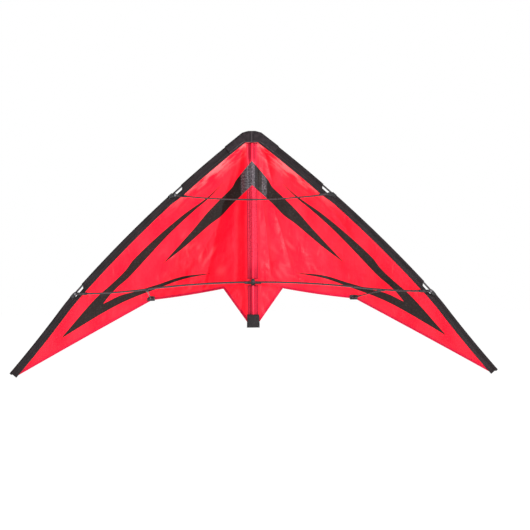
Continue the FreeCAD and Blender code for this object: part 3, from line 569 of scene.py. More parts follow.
def thicken(piece, thickness):
    """Gives a sheet its thickness, half on each side, and makes the result its final mesh."""
    solid = piece.modifiers.new("thickness", "SOLIDIFY")
    solid.thickness = thickness * MM
    solid.offset = 0.0
    solid.use_even_offset = True
    bpy.context.view_layer.update()
    graph = bpy.context.evaluated_depsgraph_get()
    final = bpy.data.meshes.new_from_object(piece.evaluated_get(graph), depsgraph=graph)
    old = piece.data
    piece.modifiers.clear()
    piece.data = final
    bpy.data.meshes.remove(old)
    final.name = piece.name


def sheet_object(name, points, faces, flat_uv, material, thickness, side, marks):
    """A piece of cloth from points in mm, mirrored for the left half."""
    if side < 0:
        faces = [tuple(reversed(face)) for face in faces]
    mesh = flat_mesh(name, points * (side, 1, 1) * MM, faces, flat_uv, marks)
    drop_loose(mesh)
    mesh.materials.append(material)
    piece = bpy.data.objects.new(name, mesh)
    bpy.context.scene.collection.objects.link(piece)
    thicken(piece, thickness)
    return piece


# ---------------------------------------------------------------- materials

def colour(name):
    """A linear colour from the palette."""
    shares = [value / 255 for value in PALETTE[name]]
    linear = [s / 12.92 if s <= 0.04045 else ((s + 0.055) / 1.055) ** 2.4 for s in shares]
    return (*linear, 1.0)


class Look:
    """One node material, built up in short steps from rest coordinates in metres."""

    def __init__(self, name, roughness, settings):
        self.material = bpy.data.materials.new(name)
        self.material.use_nodes = True
        self.tree = self.material.node_tree
        self.shader = self.tree.nodes["Principled BSDF"]
        self.feed(self.shader, {"Roughness": roughness, **settings})
        self.place = self.step("TexCoord", "Object", {})

    def feed(self, node, inputs):
        """Links or sets inputs of a node."""
        for socket, value in inputs.items():
            if hasattr(value, "is_output"):
                self.tree.links.new(value, node.inputs[socket])
            else:
                node.inputs[socket].default_value = value

    def step(self, kind, output, inputs, **settings):
        """Adds a node with its settings and inputs, and returns one of its outputs."""
        node = self.tree.nodes.new("ShaderNode" + kind)
        for setting, value in settings.items():
            setattr(node, setting, value)
        self.feed(node, inputs)
        return node.outputs[output]

    def mark(self, name):
        """A number stored on the mesh's points."""
        return self.step("Attribute", "Fac", {}, attribute_name=name)

    def stretch(self, vector, *scale):
        """Coordinates scaled on each axis."""
        return self.step("Mapping", "Vector", {"Vector": vector, "Scale": scale})

    def maths(self, operation, first, second=0.0):
        """One arithmetic step."""
        return self.step("Math", "Value", {0: first, 1: second}, operation=operation)

    def times(self, first, second):
        """The product of two numbers."""
        return self.maths("MULTIPLY", first, second)

    def plus(self, first, second):
        """The sum of two numbers."""
        return self.maths("ADD", first, second)

    def greater(self, first, second):
        """The greater of two numbers."""
        return self.maths("MAXIMUM", first, second)

    def away(self, value, centre):
        """How far a number is from a centre."""
        return self.maths("ABSOLUTE", self.maths("SUBTRACT", value, centre))

    def ramp(self, value, low, high, start=0.0, end=1.0):
        """start below low, end above high, smooth between."""
        inputs = {"Value": value, "From Min": low, "From Max": high, "To Min": start, "To Max": end}
        return self.step("MapRange", "Result", inputs, interpolation_type="SMOOTHSTEP")

    def fade(self, value, low, high, start=1.0):
        """start below low, 0 above high, smooth between."""
        return self.ramp(value, low, high, start, 0.0)

    def noise(self, vector, size, detail=3.0, roughness=0.5):
        """Cloudy noise whose blotches have a size."""
        inputs = {"Vector": vector, "Scale": 1 / size, "Detail": detail, "Roughness": roughness}
        return self.step("TexNoise", "Fac", inputs)

    def band(self, distance, width):
        """1 on a line of a width, from the distance to its middle, with a soft rim."""
        return self.fade(distance, width * LINE_RIM[0], width * LINE_RIM[1])

    def lines(self, value, spacing, width):
        """1 on thin lines a spacing apart, 0 between."""
        return self.band(self.maths("PINGPONG", value, spacing / 2), width)

    def mix(self, share, first, second):
        """A blend of two colours."""
        return self.step("Mix", MIX_OUT, {0: share, MIX_FIRST: first, MIX_SECOND: second}, data_type="RGBA")

    def blotchy(self, cloud, low, high, name):
        """The palette's colour of a name where a cloud is low, its pale one where it is high."""
        return self.mix(self.ramp(cloud, low, high), colour(name), colour(name + " pale"))

    def tint(self, base, mask, name, strength=None):
        """A colour of the palette laid over a base where a mask is 1, at a strength."""
        share = mask if strength is None else self.times(mask, strength)
        return self.mix(share, base, colour(name))

    def finish(self, base, roughness, *layers):
        """Connects the results to the shader; a layer of bump is a height and its depth."""
        results = {"Base Color": base, "Roughness": roughness}
        for height, depth in layers:
            inputs = {"Height": height, "Strength": 1.0, "Distance": depth}
            if "Normal" in results:
                inputs["Normal"] = results["Normal"]
            results["Normal"] = self.step("Bump", "Normal", inputs)
        self.feed(self.shader, results)
        return self.material


def weave(look, across, along, pitch):
    """The height of a plain weave with threads a pitch apart."""
    turns = 2 * math.pi / pitch
    over = look.maths("SINE", look.times(across, turns))
    under = look.maths("SINE", look.times(along, turns))
    return look.ramp(look.times(over, under), -1.0, 1.0)


def stitches(look, offset, along, centre, width, pitch):
    """1 on the thread of a row of straight stitches."""
    row = look.band(look.away(offset, centre), width)
    wave = look.maths("PINGPONG", along, pitch / 2)
    dash = look.ramp(wave, pitch * STITCH_GAP[0], pitch * STITCH_GAP[1])
    return look.times(row, dash)


def cloth_look(name, roughness, sheen, sheen_roughness, shine):
    """A cloth's look, with its flat coordinates and the two numbers in them."""
    look = Look(name, roughness, {"Sheen Weight": sheen, "Sheen Roughness": sheen_roughness,
                                  "Specular IOR Level": shine})
    flat = look.step("UVMap", "UV", {})
    across, along = (look.step("SeparateXYZ", axis, {"Vector": flat}) for axis in "XY")
    return look, flat, across, along


def painted_glints(look, across, along):
    """1 on painted highlights: pale glints square to the leading edge, where the upper sail is pulled to it.
    """
    cos = math.cos(EDGE_SLOPE)
    sin = math.sin(EDGE_SLOPE)
    beside = look.plus(look.times(across, cos), look.times(along, -sin))
    outward = look.plus(look.times(across, sin), look.times(along, cos))
    turned = look.step("CombineXYZ", "Vector", {"X": look.times(beside, GLINT_STRETCH), "Y": outward})
    glints = look.noise(turned, 0.012, 4.0, 0.6)
    glint_share = look.times(look.fade(look.mark("from_sleeve"), *GLINT_REACH), look.ramp(along, *GLINT_HEIGHTS))
    return look.times(glint_share, look.ramp(glints, 0.4, 0.62))


def print_ink(look, flat):
    """The black print, with grey sheen painted in spots and painted more broadly beside the spine."""
    speckle = look.noise(flat, 0.0045, 4.0, 0.7)
    shine = look.noise(look.stretch(flat, 1.0, 0.5, 1.0), 0.03)
    scuffs_and_sheen = look.mark("print_sheen")
    ink = look.blotchy(speckle, 0.5, 0.72, "ink")
    sheen_share = look.times(look.ramp(shine, 0.45, 0.7), look.ramp(speckle, 0.42, 0.62))
    # painted sheen: pale grey spots on the ink
    ink = look.tint(ink, look.times(sheen_share, look.greater(scuffs_and_sheen, LEAST_PRINT_SHEEN)), "ink sheen")
    # painted sheen: the grey the print is mixed to beside the spine
    grey_sheen = look.blotchy(speckle, 0.4, 0.64, "ink grey sheen")
    return look.mix(look.times(scuffs_and_sheen, 0.85), ink, grey_sheen)


def sail_material():
    """Red ripstop with its black pattern, hem and fine crinkles, and painted highlights."""
    look, flat, across, along = cloth_look("ripstop_sail", 0.42, 0.02, 0.4, 0.14)
    tone = look.noise(look.stretch(flat, 1.0, 0.45, 1.0), 0.055)
    red = look.blotchy(tone, 0.3, 0.72, "sail")
    sheen_streaks = look.noise(look.stretch(flat, 1.0, 0.25, 1.0), 0.014, 4.0)
    # painted highlight: pale sheen streaks over the red
    red = look.tint(red, look.ramp(sheen_streaks, 0.62, 0.8, 0.0, 0.3), "sail sheen streak")
    # painted highlight: glints beside the sleeve near the nose
    red = look.tint(red, painted_glints(look, across, along), "sail painted glint", 0.75)
    # painted highlight: pale sheen patches over the crumpled cloth
    red = look.tint(red, look.mark("sheen_share"), "sail painted sheen")
    grid = look.greater(look.lines(across, *RIPSTOP_GRID), look.lines(along, *RIPSTOP_GRID))
    red = look.tint(red, grid, "sail grid", 0.12)
    hem = look.mark("hem")
    red = look.tint(red, look.fade(hem, *HEM_BAND, 0.65), "hem")
    red = look.tint(red, look.fade(hem, *HEM_RIM, 0.8), "hem rim")
    thread = stitches(look, hem, look.plus(across, along), *HEM_ROW)
    red = look.tint(red, thread, "hem thread", 0.6)
    base = look.mix(look.ramp(look.mark("print"), -1.0, 0.2), red, print_ink(look, flat))
    crinkle = look.noise(look.stretch(flat, 1.0, 0.5, 1.0), 0.02, 5.0, 0.6)
    rough = look.ramp(tone, 0.2, 0.8, 0.34, 0.46)
    return look.finish(base, rough, (crinkle, 0.0022), (grid, 0.00012), (thread, 0.0003))


def pocket_red(look, away, along, tone, speckle):
    """The red of the pocket: rubbed down its middle, darker beside the rod at its top and its foot."""
    cloth = look.blotchy(tone, 0.3, 0.7, "pocket")
    rubbed = look.blotchy(speckle, 0.36, 0.62, "pocket rubbed")
    middle = look.times(look.ramp(along, 0.03, 0.08), look.fade(along, 0.25, 0.3))
    red = look.mix(look.times(middle, 0.9), cloth, rubbed)
    beside_rod = look.ramp(away, 0.001, 0.002)
    high = look.times(look.ramp(along, 0.315, 0.335), look.fade(away, 0.0094, 0.011))
    low = look.fade(along, 0.02, 0.085)
    # darker beside the rod's crown, near the top and the foot
    red = look.tint(red, look.times(beside_rod, look.greater(high, low)), "pocket beside rod", 0.95)
    rim = look.times(look.ramp(away, 0.0108, 0.0118), look.ramp(along, 0.3, 0.34, 1.0, 0.2))
    return look.tint(red, rim, "pocket rim", 0.7)


def pocket_thread(look, across, away, along):
    """1 on the pocket's thread: two rows on each side and a zigzag down the middle."""
    rows = look.greater(stitches(look, away, along, *POCKET_INNER_ROW),
                        stitches(look, away, along, *POCKET_OUTER_ROW))
    zigzag = look.maths("SUBTRACT", look.maths("PINGPONG", along, ZIGZAG_WIDTH), ZIGZAG_WIDTH / 2)
    return look.greater(rows, look.fade(look.away(across, zigzag), 0.0005, 0.0009, 0.6))


def pocket_material():
    """The doubled red cloth of the spine pocket, with the print where it crosses, painted grey with sheen.
    """
    look, flat, across, along = cloth_look("pocket_cloth", 0.5, 0.02, 0.4, 0.16)
    away = look.maths("ABSOLUTE", across)
    tone = look.noise(look.stretch(flat, 1.0, 0.3, 1.0), 0.02, 4.0)
    speckle = look.noise(flat, 0.0035, 4.0, 0.7)
    thread = pocket_thread(look, across, away, along)
    red = look.tint(pocket_red(look, away, along, tone, speckle), thread, "pocket thread", 0.6)
    # the print, with painted grey sheen speckles
    ink = look.blotchy(speckle, 0.4, 0.64, "pocket ink and sheen")
    ink = look.tint(ink, look.ramp(across, 0.0055, 0.0085, 0.0, 0.85), "pocket ink and sheen shaded")
    base = look.mix(look.ramp(look.mark("print"), -0.5, 0.5), red, ink)
    crinkle = look.noise(look.stretch(flat, 1.0, 0.35, 1.0), 0.009, 5.0, 0.6)
    rough = look.ramp(tone, 0.2, 0.8, 0.42, 0.58)
    return look.finish(base, rough, (crinkle, 0.0012), (thread, 0.0004))


def sleeve_material():
    """Black woven polyester tape with two rows of stitches and rubbed edges."""
    look, flat, along, inward = cloth_look("woven_sleeve", 0.72, 0.02, 0.5, 0.12)
    threads = weave(look, along, inward, 0.0011)
    tone = look.noise(look.stretch(flat, 0.35, 1.0, 1.0), 0.016, 4.0)
    black = look.tint(look.blotchy(tone, 0.3, 0.7, "sleeve"), threads, "sleeve weave", 0.3)
    edge = look.mark("from_hem")
    thread = look.greater(stitches(look, edge, along, *SLEEVE_OUTER_ROW),
                          stitches(look, edge, along, *SLEEVE_INNER_ROW))
    black = look.tint(black, thread, "sleeve thread", 0.3)
    rubbed = look.times(look.fade(edge, 0.0002, 0.0014), look.ramp(tone, 0.4, 0.6))
    black = look.tint(black, rubbed, "sleeve rubbed", 0.2)
    rough = look.ramp(tone, 0.2, 0.8, 0.62, 0.82)
    return look.finish(black, rough, (tone, 0.0012), (threads, 0.0002), (thread, 0.0004))


def webbing_material():
    """Heavy black ribbed webbing, with a pale painted highlight down the middle of the nose."""
    look, flat, across, along = cloth_look("nose_webbing", 0.7, 0.02, 0.5, 0.12)
    ribs = look.ramp(look.maths("SINE", look.times(along, 2 * math.pi / RIB_PITCH)), -1.0, 1.0)
    threads = weave(look, across, along, 0.0012)
    tone = look.noise(flat, 0.012, 4.0)
    black = look.blotchy(tone, 0.3, 0.7, "webbing")
    black = look.tint(black, look.times(ribs, threads), "webbing ribs", 0.4)
    ridge_highlight = look.fade(look.maths("ABSOLUTE", across), 0.0004, 0.0022, 0.5)
    # painted highlight on the ridge down the middle of the nose
    black = look.tint(black, ridge_highlight, "webbing ridge highlight")
    thread = stitches(look, look.mark("from_hem"), look.plus(across, along), *NOSE_ROW)
    black = look.tint(black, thread, "webbing thread", 0.7)
    rough = look.ramp(tone, 0.2, 0.8, 0.6, 0.8)
    return look.finish(black, rough, (ribs, 0.00035), (threads, 0.0002), (thread, 0.0004))


def loop_material():
    """Charcoal hook-and-loop tape: a fuzzy face inside a smooth woven rim."""
    look, flat, across, along = cloth_look("loop_tape", 0.85, 0.04, 0.6, 0.12)
    fuzz = look.noise(flat, 0.0011, 5.0, 0.75)
    tufts = look.noise(flat, 0.004)
    dark = look.blotchy(fuzz, 0.35, 0.68, "loop")
    dark = look.tint(dark, look.ramp(tufts, 0.45, 0.7, 0.0, 0.35), "loop tufts")
    edge = look.mark("from_hem")
    threads = weave(look, across, along, 0.0008)
    cloth = look.mix(look.times(threads, 0.5), colour("loop rim"), colour("loop rim pale"))
    base = look.mix(look.fade(edge, 0.0016, 0.0026), dark, cloth)
    thread = stitches(look, edge, look.plus(across, along), *TAIL_ROW)
    base = look.tint(base, thread, "loop thread", 0.6)
    return look.finish(base, look.ramp(fuzz, 0.2, 0.8, 0.75, 0.95), (fuzz, 0.0009), (threads, 0.0001))


def rod_material():
    """Black pultruded fibreglass: fine lengthwise fibres under a smooth resin."""
    look = Look("fibreglass_rod", 0.3, {"Coat Weight": 0.1, "Coat Roughness": 0.2,
                                        "Specular IOR Level": 0.35})
    fibres = look.noise(look.stretch(look.place, 0.05, 1.0, 1.0), 0.0006, 4.0, 0.6)
    scuffs_and_sheen = look.noise(look.place, 0.008, 5.0, 0.65)
    black = look.blotchy(fibres, 0.35, 0.65, "rod")
    black = look.tint(black, look.ramp(scuffs_and_sheen, 0.6, 0.78, 0.0, 0.4), "rod scuffs")
    return look.finish(black, look.ramp(scuffs_and_sheen, 0.3, 0.75, 0.22, 0.5), (fibres, 0.00008))


def moulded_material():
    """Black moulded plastic, matt, with a fine grain and rubbed high spots."""
    look = Look("moulded_plastic", 0.5, {"Specular IOR Level": 0.25})
    grain = look.noise(look.place, 0.0007, 3.0, 0.6)
    rubbing = look.noise(look.place, 0.006, 5.0, 0.7)
    edges = look.step("NewGeometry", "Pointiness", {})
    high = look.times(look.ramp(edges, 0.5, 0.56), look.ramp(rubbing, 0.4, 0.65))
    black = look.tint(look.blotchy(rubbing, 0.3, 0.7, "moulded"), high, "moulded high", 0.5)
    return look.finish(black, look.ramp(rubbing, 0.3, 0.7, 0.42, 0.62), (grain, 0.00012))


def rubber_material():
    """Soft black rubber of the rod caps, dusty in its low spots."""
    look = Look("cap_rubber", 0.75, {"Specular IOR Level": 0.3})
    dust = look.noise(look.place, 0.004, 5.0, 0.65)
    grain = look.noise(look.place, 0.0005)
    black = look.mix(look.ramp(dust, 0.45, 0.75, 0.0, 0.6), colour("rubber"), colour("rubber dust"))
    return look.finish(black, look.ramp(dust, 0.2, 0.8, 0.66, 0.86), (grain, 0.0001))


def metal_material(name, tint, roughness, *drawn):
    """Bare metal with fine drawn lines and small stains."""
    look = Look(name, roughness, {"Metallic": 1.0})
    lines = look.noise(look.stretch(look.place, *drawn), 0.0005, 4.0, 0.7)
    stain = look.noise(look.place, 0.004, 4.0)
    bright = colour(tint)
    dull = [value * STAIN_DULLS for value in bright[:3]]
    base = look.mix(look.ramp(stain, 0.35, 0.75), bright, (*dull, 1.0))
    rough = look.ramp(lines, 0.3, 0.7, roughness - 0.08, roughness + 0.12)
    return look.finish(base, rough, (lines, 0.00004))


# ---------------------------------------------------------------- sail

def trailing_edge():
    """The cut lower edge of the right half, from the spine to the tip."""
    tip_x, tip_z = EDGE.at(EDGE.length - CLOTH_TIP_SETBACK, CLOTH_UNDER_SLEEVE)
    tip = (float(tip_x), float(tip_z))
    middle_arc = arc_through(TAIL_NOTCH, TRAILING_MIDDLE, TRAILING_FOOT, MIDDLE_ARC_POINTS)
    outer_arc = arc_through(TRAILING_FOOT, TRAILING_BULGE, tip, OUTER_ARC_POINTS)
    corner = (CLOTH_TAIL_X, CLOTH_TAIL_Z)
    return np.array([(0.0, CLOTH_TAIL_Z), corner] + middle_arc + outer_arc[1:])


def even(line, count):
    """Points a constant share of a line's length apart, with its first two corners kept."""
    along = lengths_of(line)
    wanted = np.linspace(0, along[-1], count)
    for corner in (1, 2):
        wanted[np.argmin(abs(wanted - along[corner]))] = along[corner]
    return np.stack([np.interp(wanted, along, line[:, 0]), np.interp(wanted, along, line[:, 1])], axis=1)


def cloth_plan():
    """The right half's points in the wing plane, as a grid from the spine to the sleeve."""
    across = np.linspace(0, 1, CLOTH_COLUMNS + 1)
    down = np.linspace(0, 1, CLOTH_ROWS + 1)[:, None]
    low = even(trailing_edge(), CLOTH_COLUMNS + 1)
    spine = np.stack([down * 0, CLOTH_TOP_Z + (CLOTH_TAIL_Z - CLOTH_TOP_Z) * down], axis=-1)
    along = down * (EDGE.length - CLOTH_TIP_SETBACK)
    sleeve = np.stack(EDGE.at(along, CLOTH_UNDER_SLEEVE), axis=-1)
    top = spine[0, 0] + (sleeve[0, 0] - spine[0, 0]) * across[:, None]
    share = across[None, :, None]
    depth = down[:, :, None]
    plan = (1 - share) * spine + share * sleeve + (1 - depth) * top + depth * low
    straight = (1 - share) * spine[-1, 0] + share * sleeve[-1, 0]
    return plan - (1 - depth) * top - depth * straight


def billow(x, z, side):
    """How far the cloth lies behind the wing plane."""
    foot = np.array([STANDOFF_FOOT_X[side], STANDOFF_FOOT_Z])
    inside = np.maximum(EDGE.gap(x, z, SLEEVE_WIDTH), 0.0)
    foot_inside = float(EDGE.gap(foot[:1], foot[1:], SLEEVE_WIDTH)[0])
    cone = np.maximum(CONE_LEAST, (NOSE_APEX_Z - z) / (NOSE_APEX_Z - STANDOFF_FOOT_Z))
    level = smooth_least(x / foot[0], inside / foot_inside, RIDGE_ROUNDING * cone)
    peak = smooth_least(1.0, 1.0, RIDGE_ROUNDING)
    deep = STANDOFF_DEPTH[side] * level / peak + SAIL_AT_SPINE * inside / (inside + x + TINY)
    deep = deep * (1 - np.exp(-inside / SLEEVE_EASING))
    sewn = 1 - smooth_step(*SEWN_TO_SPINE, x)
    return deep * (1 - sewn) + SAIL_AT_SPINE * sewn


def fold_height(x, z, fold):
    """The height of one fold at the cloth's points."""
    start, end, height, width, kind = fold
    run = np.subtract(end, start).astype(float)
    length = np.hypot(*run)
    along = ((x - start[0]) * run[0] + (z - start[1]) * run[1]) / length
    off = ((x - start[0]) * run[1] - (z - start[1]) * run[0]) / length
    off = off + FOLD_SWAY * width * np.sin(along / length * FOLD_SWAY_TURN)
    taper = smooth_step(*FOLD_RISES, along / length) * (1 - smooth_step(*FOLD_DIES, along / length))
    if kind == "sharp":
        return height * taper * np.exp(-(np.hypot(off, CREASE_R) - CREASE_R) / width)
    return height * taper * np.exp(-((off / width) ** 2))


def near_crumple(x, z, side, fade):
    """1 at the middle of the crumpled cloth, fading over two shares of its reach."""
    away = np.hypot(x - CRUMPLE_MIDDLE[side][0], z - CRUMPLE_MIDDLE[side][1])
    return 1 - smooth_step(fade[0] * CRUMPLE_REACH, fade[1] * CRUMPLE_REACH, away)


def crumple(x, z, side):
    """Small sharp creases, deepest over the inner wing."""
    share = CRUMPLE_LEAST + (1 - CRUMPLE_LEAST) * near_crumple(x, z, side, CRUMPLE_FADE)
    creases = sum(height * abs(wander(x, z * stretch, size, seed + CRUMPLE_SEED_STEP * SIDES[side]))
                  for height, stretch, size, seed in CREASES)
    return -share * creases


def painted_sheen(x, z, side):
    """How strongly painted sheen lightens the cloth, from 0 to 1: soft leaning streaks of painted highlight
    where it is crumpled most.
    """
    seed = SHEEN_SEED + CRUMPLE_SEED_STEP * SIDES[side]
    across = math.cos(STREAK_LEAN) * x + math.sin(STREAK_LEAN) * z
    along = math.cos(STREAK_LEAN) * z - math.sin(STREAK_LEAN) * x
    sheen_streaks = wander(across, STREAK_STRETCH * along, STREAK_WIDTH, seed)
    patches = wander(x, z, PATCH_WIDTH, seed + 1)
    sheen_share = SHEEN_SHARE[side] * near_crumple(x, z, side, SHEEN_FADE)
    return sheen_share * smooth_step(*STREAK_LEVELS, sheen_streaks) * smooth_step(*PATCH_LEVELS, patches)


def print_sheen(x, side):
    """How strongly grey sheen is painted on the black print beside the spine, from 0 to 1."""
    low, high, most = PRINT_SHEEN[side]
    starts = smooth_step(low - PRINT_SHEEN_BLUR, low + PRINT_SHEEN_BLUR, x)
    return most * starts * (1 - smooth_step(high - PRINT_SHEEN_BLUR, high + PRINT_SHEEN_BLUR, x))


def cloth_depth(x, z, side):
    """The billow with its folds and slack, which die away where the cloth is held."""
    inside = EDGE.gap(x, z, SLEEVE_WIDTH)
    foot_away = np.hypot(x - STANDOFF_FOOT_X[side], z - STANDOFF_FOOT_Z)
    loose = smooth_step(*FREE_OF_SLEEVE, inside) * smooth_step(*FREE_OF_SPINE, x)
    loose = loose * smooth_step(*FREE_OF_FOOT, foot_away)
    folds = sum(fold_height(x, z, fold) for fold in FOLDS[side])
    slack = sum(height * wander(x, z, size, seed + SIDES[side]) for height, size, seed in SLACK)
    return billow(x, z, side) + loose * (folds + slack + crumple(x, z, side))


def sail_marks(x, z, side, flat_points):
    """What the sail's material needs to know at each point; distances are in mm."""
    pattern = np.maximum(inside_by(flat_points, rounded(CHEVRON)), inside_by(flat_points, rounded(STRIPE)))
    return {"print": pattern, "hem": distance_to(flat_points, trailing_edge()),
            "from_sleeve": EDGE.gap(x, z, SLEEVE_WIDTH).ravel(), "sheen_share": painted_sheen(x, z, side).ravel(),
            "print_sheen": print_sheen(x, side).ravel()}


def make_sail(side, material):
    """One half of the sail."""
    plan = cloth_plan()
    x, z = plan[..., 0], plan[..., 1]
    points = np.stack([x, cloth_depth(x, z, side), z], axis=-1).reshape(-1, 3)
    faces = grid_faces(*x.shape)
    flat_points = flat_pair(x, z)
    sail = sheet_object(side + "_sail_cloth", points, faces, flat_points, material, CLOTH_THICKNESS,
                        SIDES[side], sail_marks(x, z, side, flat_points))
    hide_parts(side + "_sail")
    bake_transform(sail)


# ---------------------------------------------------------------- sleeves

def sleeve_stations():
    """Distances along the edge, close together beside the notches."""
    stops = set(np.round(np.linspace(0, EDGE.length, SLEEVE_STATIONS), 3))
    for station in (UPPER_STATION, LOWER_STATION):
        start = station - NOTCH_BEFORE
        end = station + NOTCH_AFTER
        stops = {s for s in stops if not start - NOTCH_MARGIN < s < end + NOTCH_MARGIN}
        stops |= set(np.round(start + np.linspace(0, NOTCH_CHAMFER, CHAMFER_STATIONS), 3))
        stops |= set(np.round(np.linspace(start + NOTCH_CHAMFER, end, NOTCH_STATIONS), 3))
    return np.array(sorted(stops))


def sleeve_width(station):
    """The sleeve is cut wider towards the nose."""
    narrow = smooth_step(*SLEEVE_NARROWS, station)
    return SLEEVE_UPPER_WIDTH + (SLEEVE_LOWER_WIDTH - SLEEVE_UPPER_WIDTH) * narrow


def sleeve_profile(width):
    """Inward distance and half depth round the sleeve, from its front hem to its back hem."""
    lap = np.concatenate([np.linspace(width, NOTCH_DEPTH + 1.0, LAP_POINTS),
                          np.linspace(NOTCH_DEPTH, NOTCH_CHAMFER, CHAMFER_STATIONS)])
    turn = np.radians(np.linspace(0, 180, ROUND_POINTS))[1:-1]
    front = []
    for inward in lap:
        rise = 1 - smooth_step(SLEEVE_ROUND_ENDS, SLEEVE_LAP_START, inward)
        front.append((inward, -(SLEEVE_LAP_HALF + (SLEEVE_ROUND_R - SLEEVE_LAP_HALF) * rise)))
    cap = [(SLEEVE_ROD_DEPTH - SLEEVE_ROUND_R * math.sin(a), -SLEEVE_ROUND_R * math.cos(a)) for a in turn]
    back = [(inward, -depth) for inward, depth in reversed(front)]
    return np.array(front + cap + back)


def in_notch(along, inward):
    """Whether a place on the sleeve is cut away for a fitting."""
    for station in (UPPER_STATION, LOWER_STATION):
        start = station - NOTCH_BEFORE + max(0.0, inward - NOTCH_CHAMFER)
        reach = NOTCH_DEPTH if along < station - CLAMP_HALF_LENGTH else CLAMP_INWARD
        if inward < reach and start < along < station + NOTCH_AFTER:
            return True
    return False


def make_sleeve(side, material):
    """The cloth sleeve of one leading edge, cut away at its two fittings."""
    stations = sleeve_stations()
    rows = []
    flats = []
    hems = []
    for station in stations:
        profile = sleeve_profile(float(sleeve_width(station)))
        here = np.full(len(profile), station)
        inward, depth = profile.T
        x, z = EDGE.at(here, inward)
        ease = uneven("sleeve ease", here, inward * 2, SIDES[side]) * smooth_step(*SLEEVE_EASES, inward)
        rows.append(np.stack([x, depth + ease * np.sign(depth), z], axis=1))
        lengths = lengths_of(profile)
        flats.append(np.stack([here, lengths], axis=1))
        hems.append(np.minimum(lengths, lengths[-1] - lengths) * MM)

    def kept(row, column):
        along = (stations[row] + stations[row + 1]) / 2
        return not in_notch(along, (inward[column] + inward[column + 1]) / 2)

    faces = grid_faces(len(stations), len(profile), kept)
    sleeve = sheet_object(side + "_sleeve_cloth", np.concatenate(rows), faces, np.concatenate(flats),
                          material, SLEEVE_THICKNESS, SIDES[side], {"from_hem": np.concatenate(hems)})
    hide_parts(side + "_edge_sleeve")
    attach(sleeve, side + "_wing")


# ---------------------------------------------------------------- spine pocket and patches

def pocket_profile():
    """Offset and depth across the pocket: flat flanges and a round crown over the rod."""
    offsets = np.concatenate([np.linspace(-POCKET_HALF_WIDTH, -POCKET_STITCH_X, FLANGE_POINTS),
                              np.linspace(-POCKET_STITCH_X, POCKET_STITCH_X, CROWN_POINTS)[1:-1],
                              np.linspace(POCKET_STITCH_X, POCKET_HALF_WIDTH, FLANGE_POINTS)])
    share = np.clip(abs(offsets) / POCKET_STITCH_X, 0, 1)
    crown = np.where(abs(offsets) < POCKET_ROUND_R,
                     np.sqrt(np.maximum(POCKET_ROUND_R**2 - offsets**2, 0)), 0)
    slope = (POCKET_ROUND_R + SAIL_AT_SPINE) * POCKET_SLOPE
    slope = slope * (1 - smooth_step(POCKET_SLOPE_STARTS, 1.0, share))
    height = np.maximum(crown + SAIL_AT_SPINE, slope)
    flange = SAIL_AT_SPINE - POCKET_LIFT
    return offsets, flange - np.maximum(height - POCKET_THICKNESS, 0) * (share < 1)


def make_pocket(name, low, high, material):
    """One length of the pocket, from its lower to its upper end."""
    offsets, depths = pocket_profile()
    heights = np.linspace(low, high, int((high - low) / POCKET_ROW_PITCH))
    z, x = np.meshgrid(heights, offsets, indexing="ij")
    y = np.broadcast_to(depths, x.shape)
    ruck = uneven("pocket ruck", x * 2, z) * smooth_step(*POCKET_RUCKS, abs(x))
    wavy = uneven("pocket edge", np.sign(x) * POCKET_EDGES_APART, z)
    wavy = wavy * smooth_step(*POCKET_EDGE_WAVES, abs(x))
    points = np.stack([x + wavy, y + ruck, z], axis=-1).reshape(-1, 3)
    pattern = inside_by(flat_pair(abs(x), z), rounded(CHEVRON))
    pocket = sheet_object(name, points, grid_faces(*x.shape), flat_pair(x, z), material,
                          POCKET_THICKNESS, 1, {"print": pattern})
    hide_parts("spine_pocket")
    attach(pocket, "keel")


def tail_patch_path():
    """Depth and height down the front of the tail patch, round its foot and up its back.

    The front corner is rounded out. The back corner is dented in by the same radius.
    """
    radius = TAIL_PATCH_CORNER_R
    turn = np.radians(np.linspace(0, 90, CORNER_POINTS))
    foot = TAIL_PATCH_LOW_Z + radius
    down = np.linspace(TAIL_PATCH_TOP_Z, foot, TAIL_PATCH_ROWS)
    up = np.linspace(foot, TAIL_PATCH_TOP_Z, TAIL_PATCH_ROWS)
    path = [(TAIL_PATCH_FRONT_Y, z) for z in down]
    path += [(TAIL_PATCH_FRONT_Y + radius * (1 - math.cos(a)), foot - radius * math.sin(a))
             for a in turn[1:]]
    path += [(TAIL_PATCH_BACK_Y - radius * math.cos(a), foot - radius * math.sin(a))
             for a in turn[::-1][:-1]]
    path += [(TAIL_PATCH_BACK_Y, z) for z in up]
    return np.array(path)


def tail_patch_row(columns, y, z, length):
    """The points across the tail patch at one place down its path."""
    here = np.full(len(columns), length)
    out = abs(columns)
    side = np.sign(columns)
    low_share = 1 - smooth_step(TAIL_PATCH_LOW_Z, TAIL_PATCH_TOP_Z, z)
    ragged = uneven("tail edge", side * TAIL_EDGES_APART, here) * smooth_step(*TAIL_RAGGED, out)
    flare = side * TAIL_FLARE * low_share * smooth_step(*TAIL_FLARES, out)
    facing = -1 if y < 0 else 1
    crown = TAIL_CROWN * (1 - smooth_step(*TAIL_CROWN_FALLS, out)) * min(facing, 0)
    curl = -facing * TAIL_CURL * smooth_step(*TAIL_CURLS, out)
    fuzz = uneven("tail fuzz", columns, here)
    return np.stack([columns + flare + ragged, y + crown + curl + fuzz, np.full(len(columns), z)], axis=1)


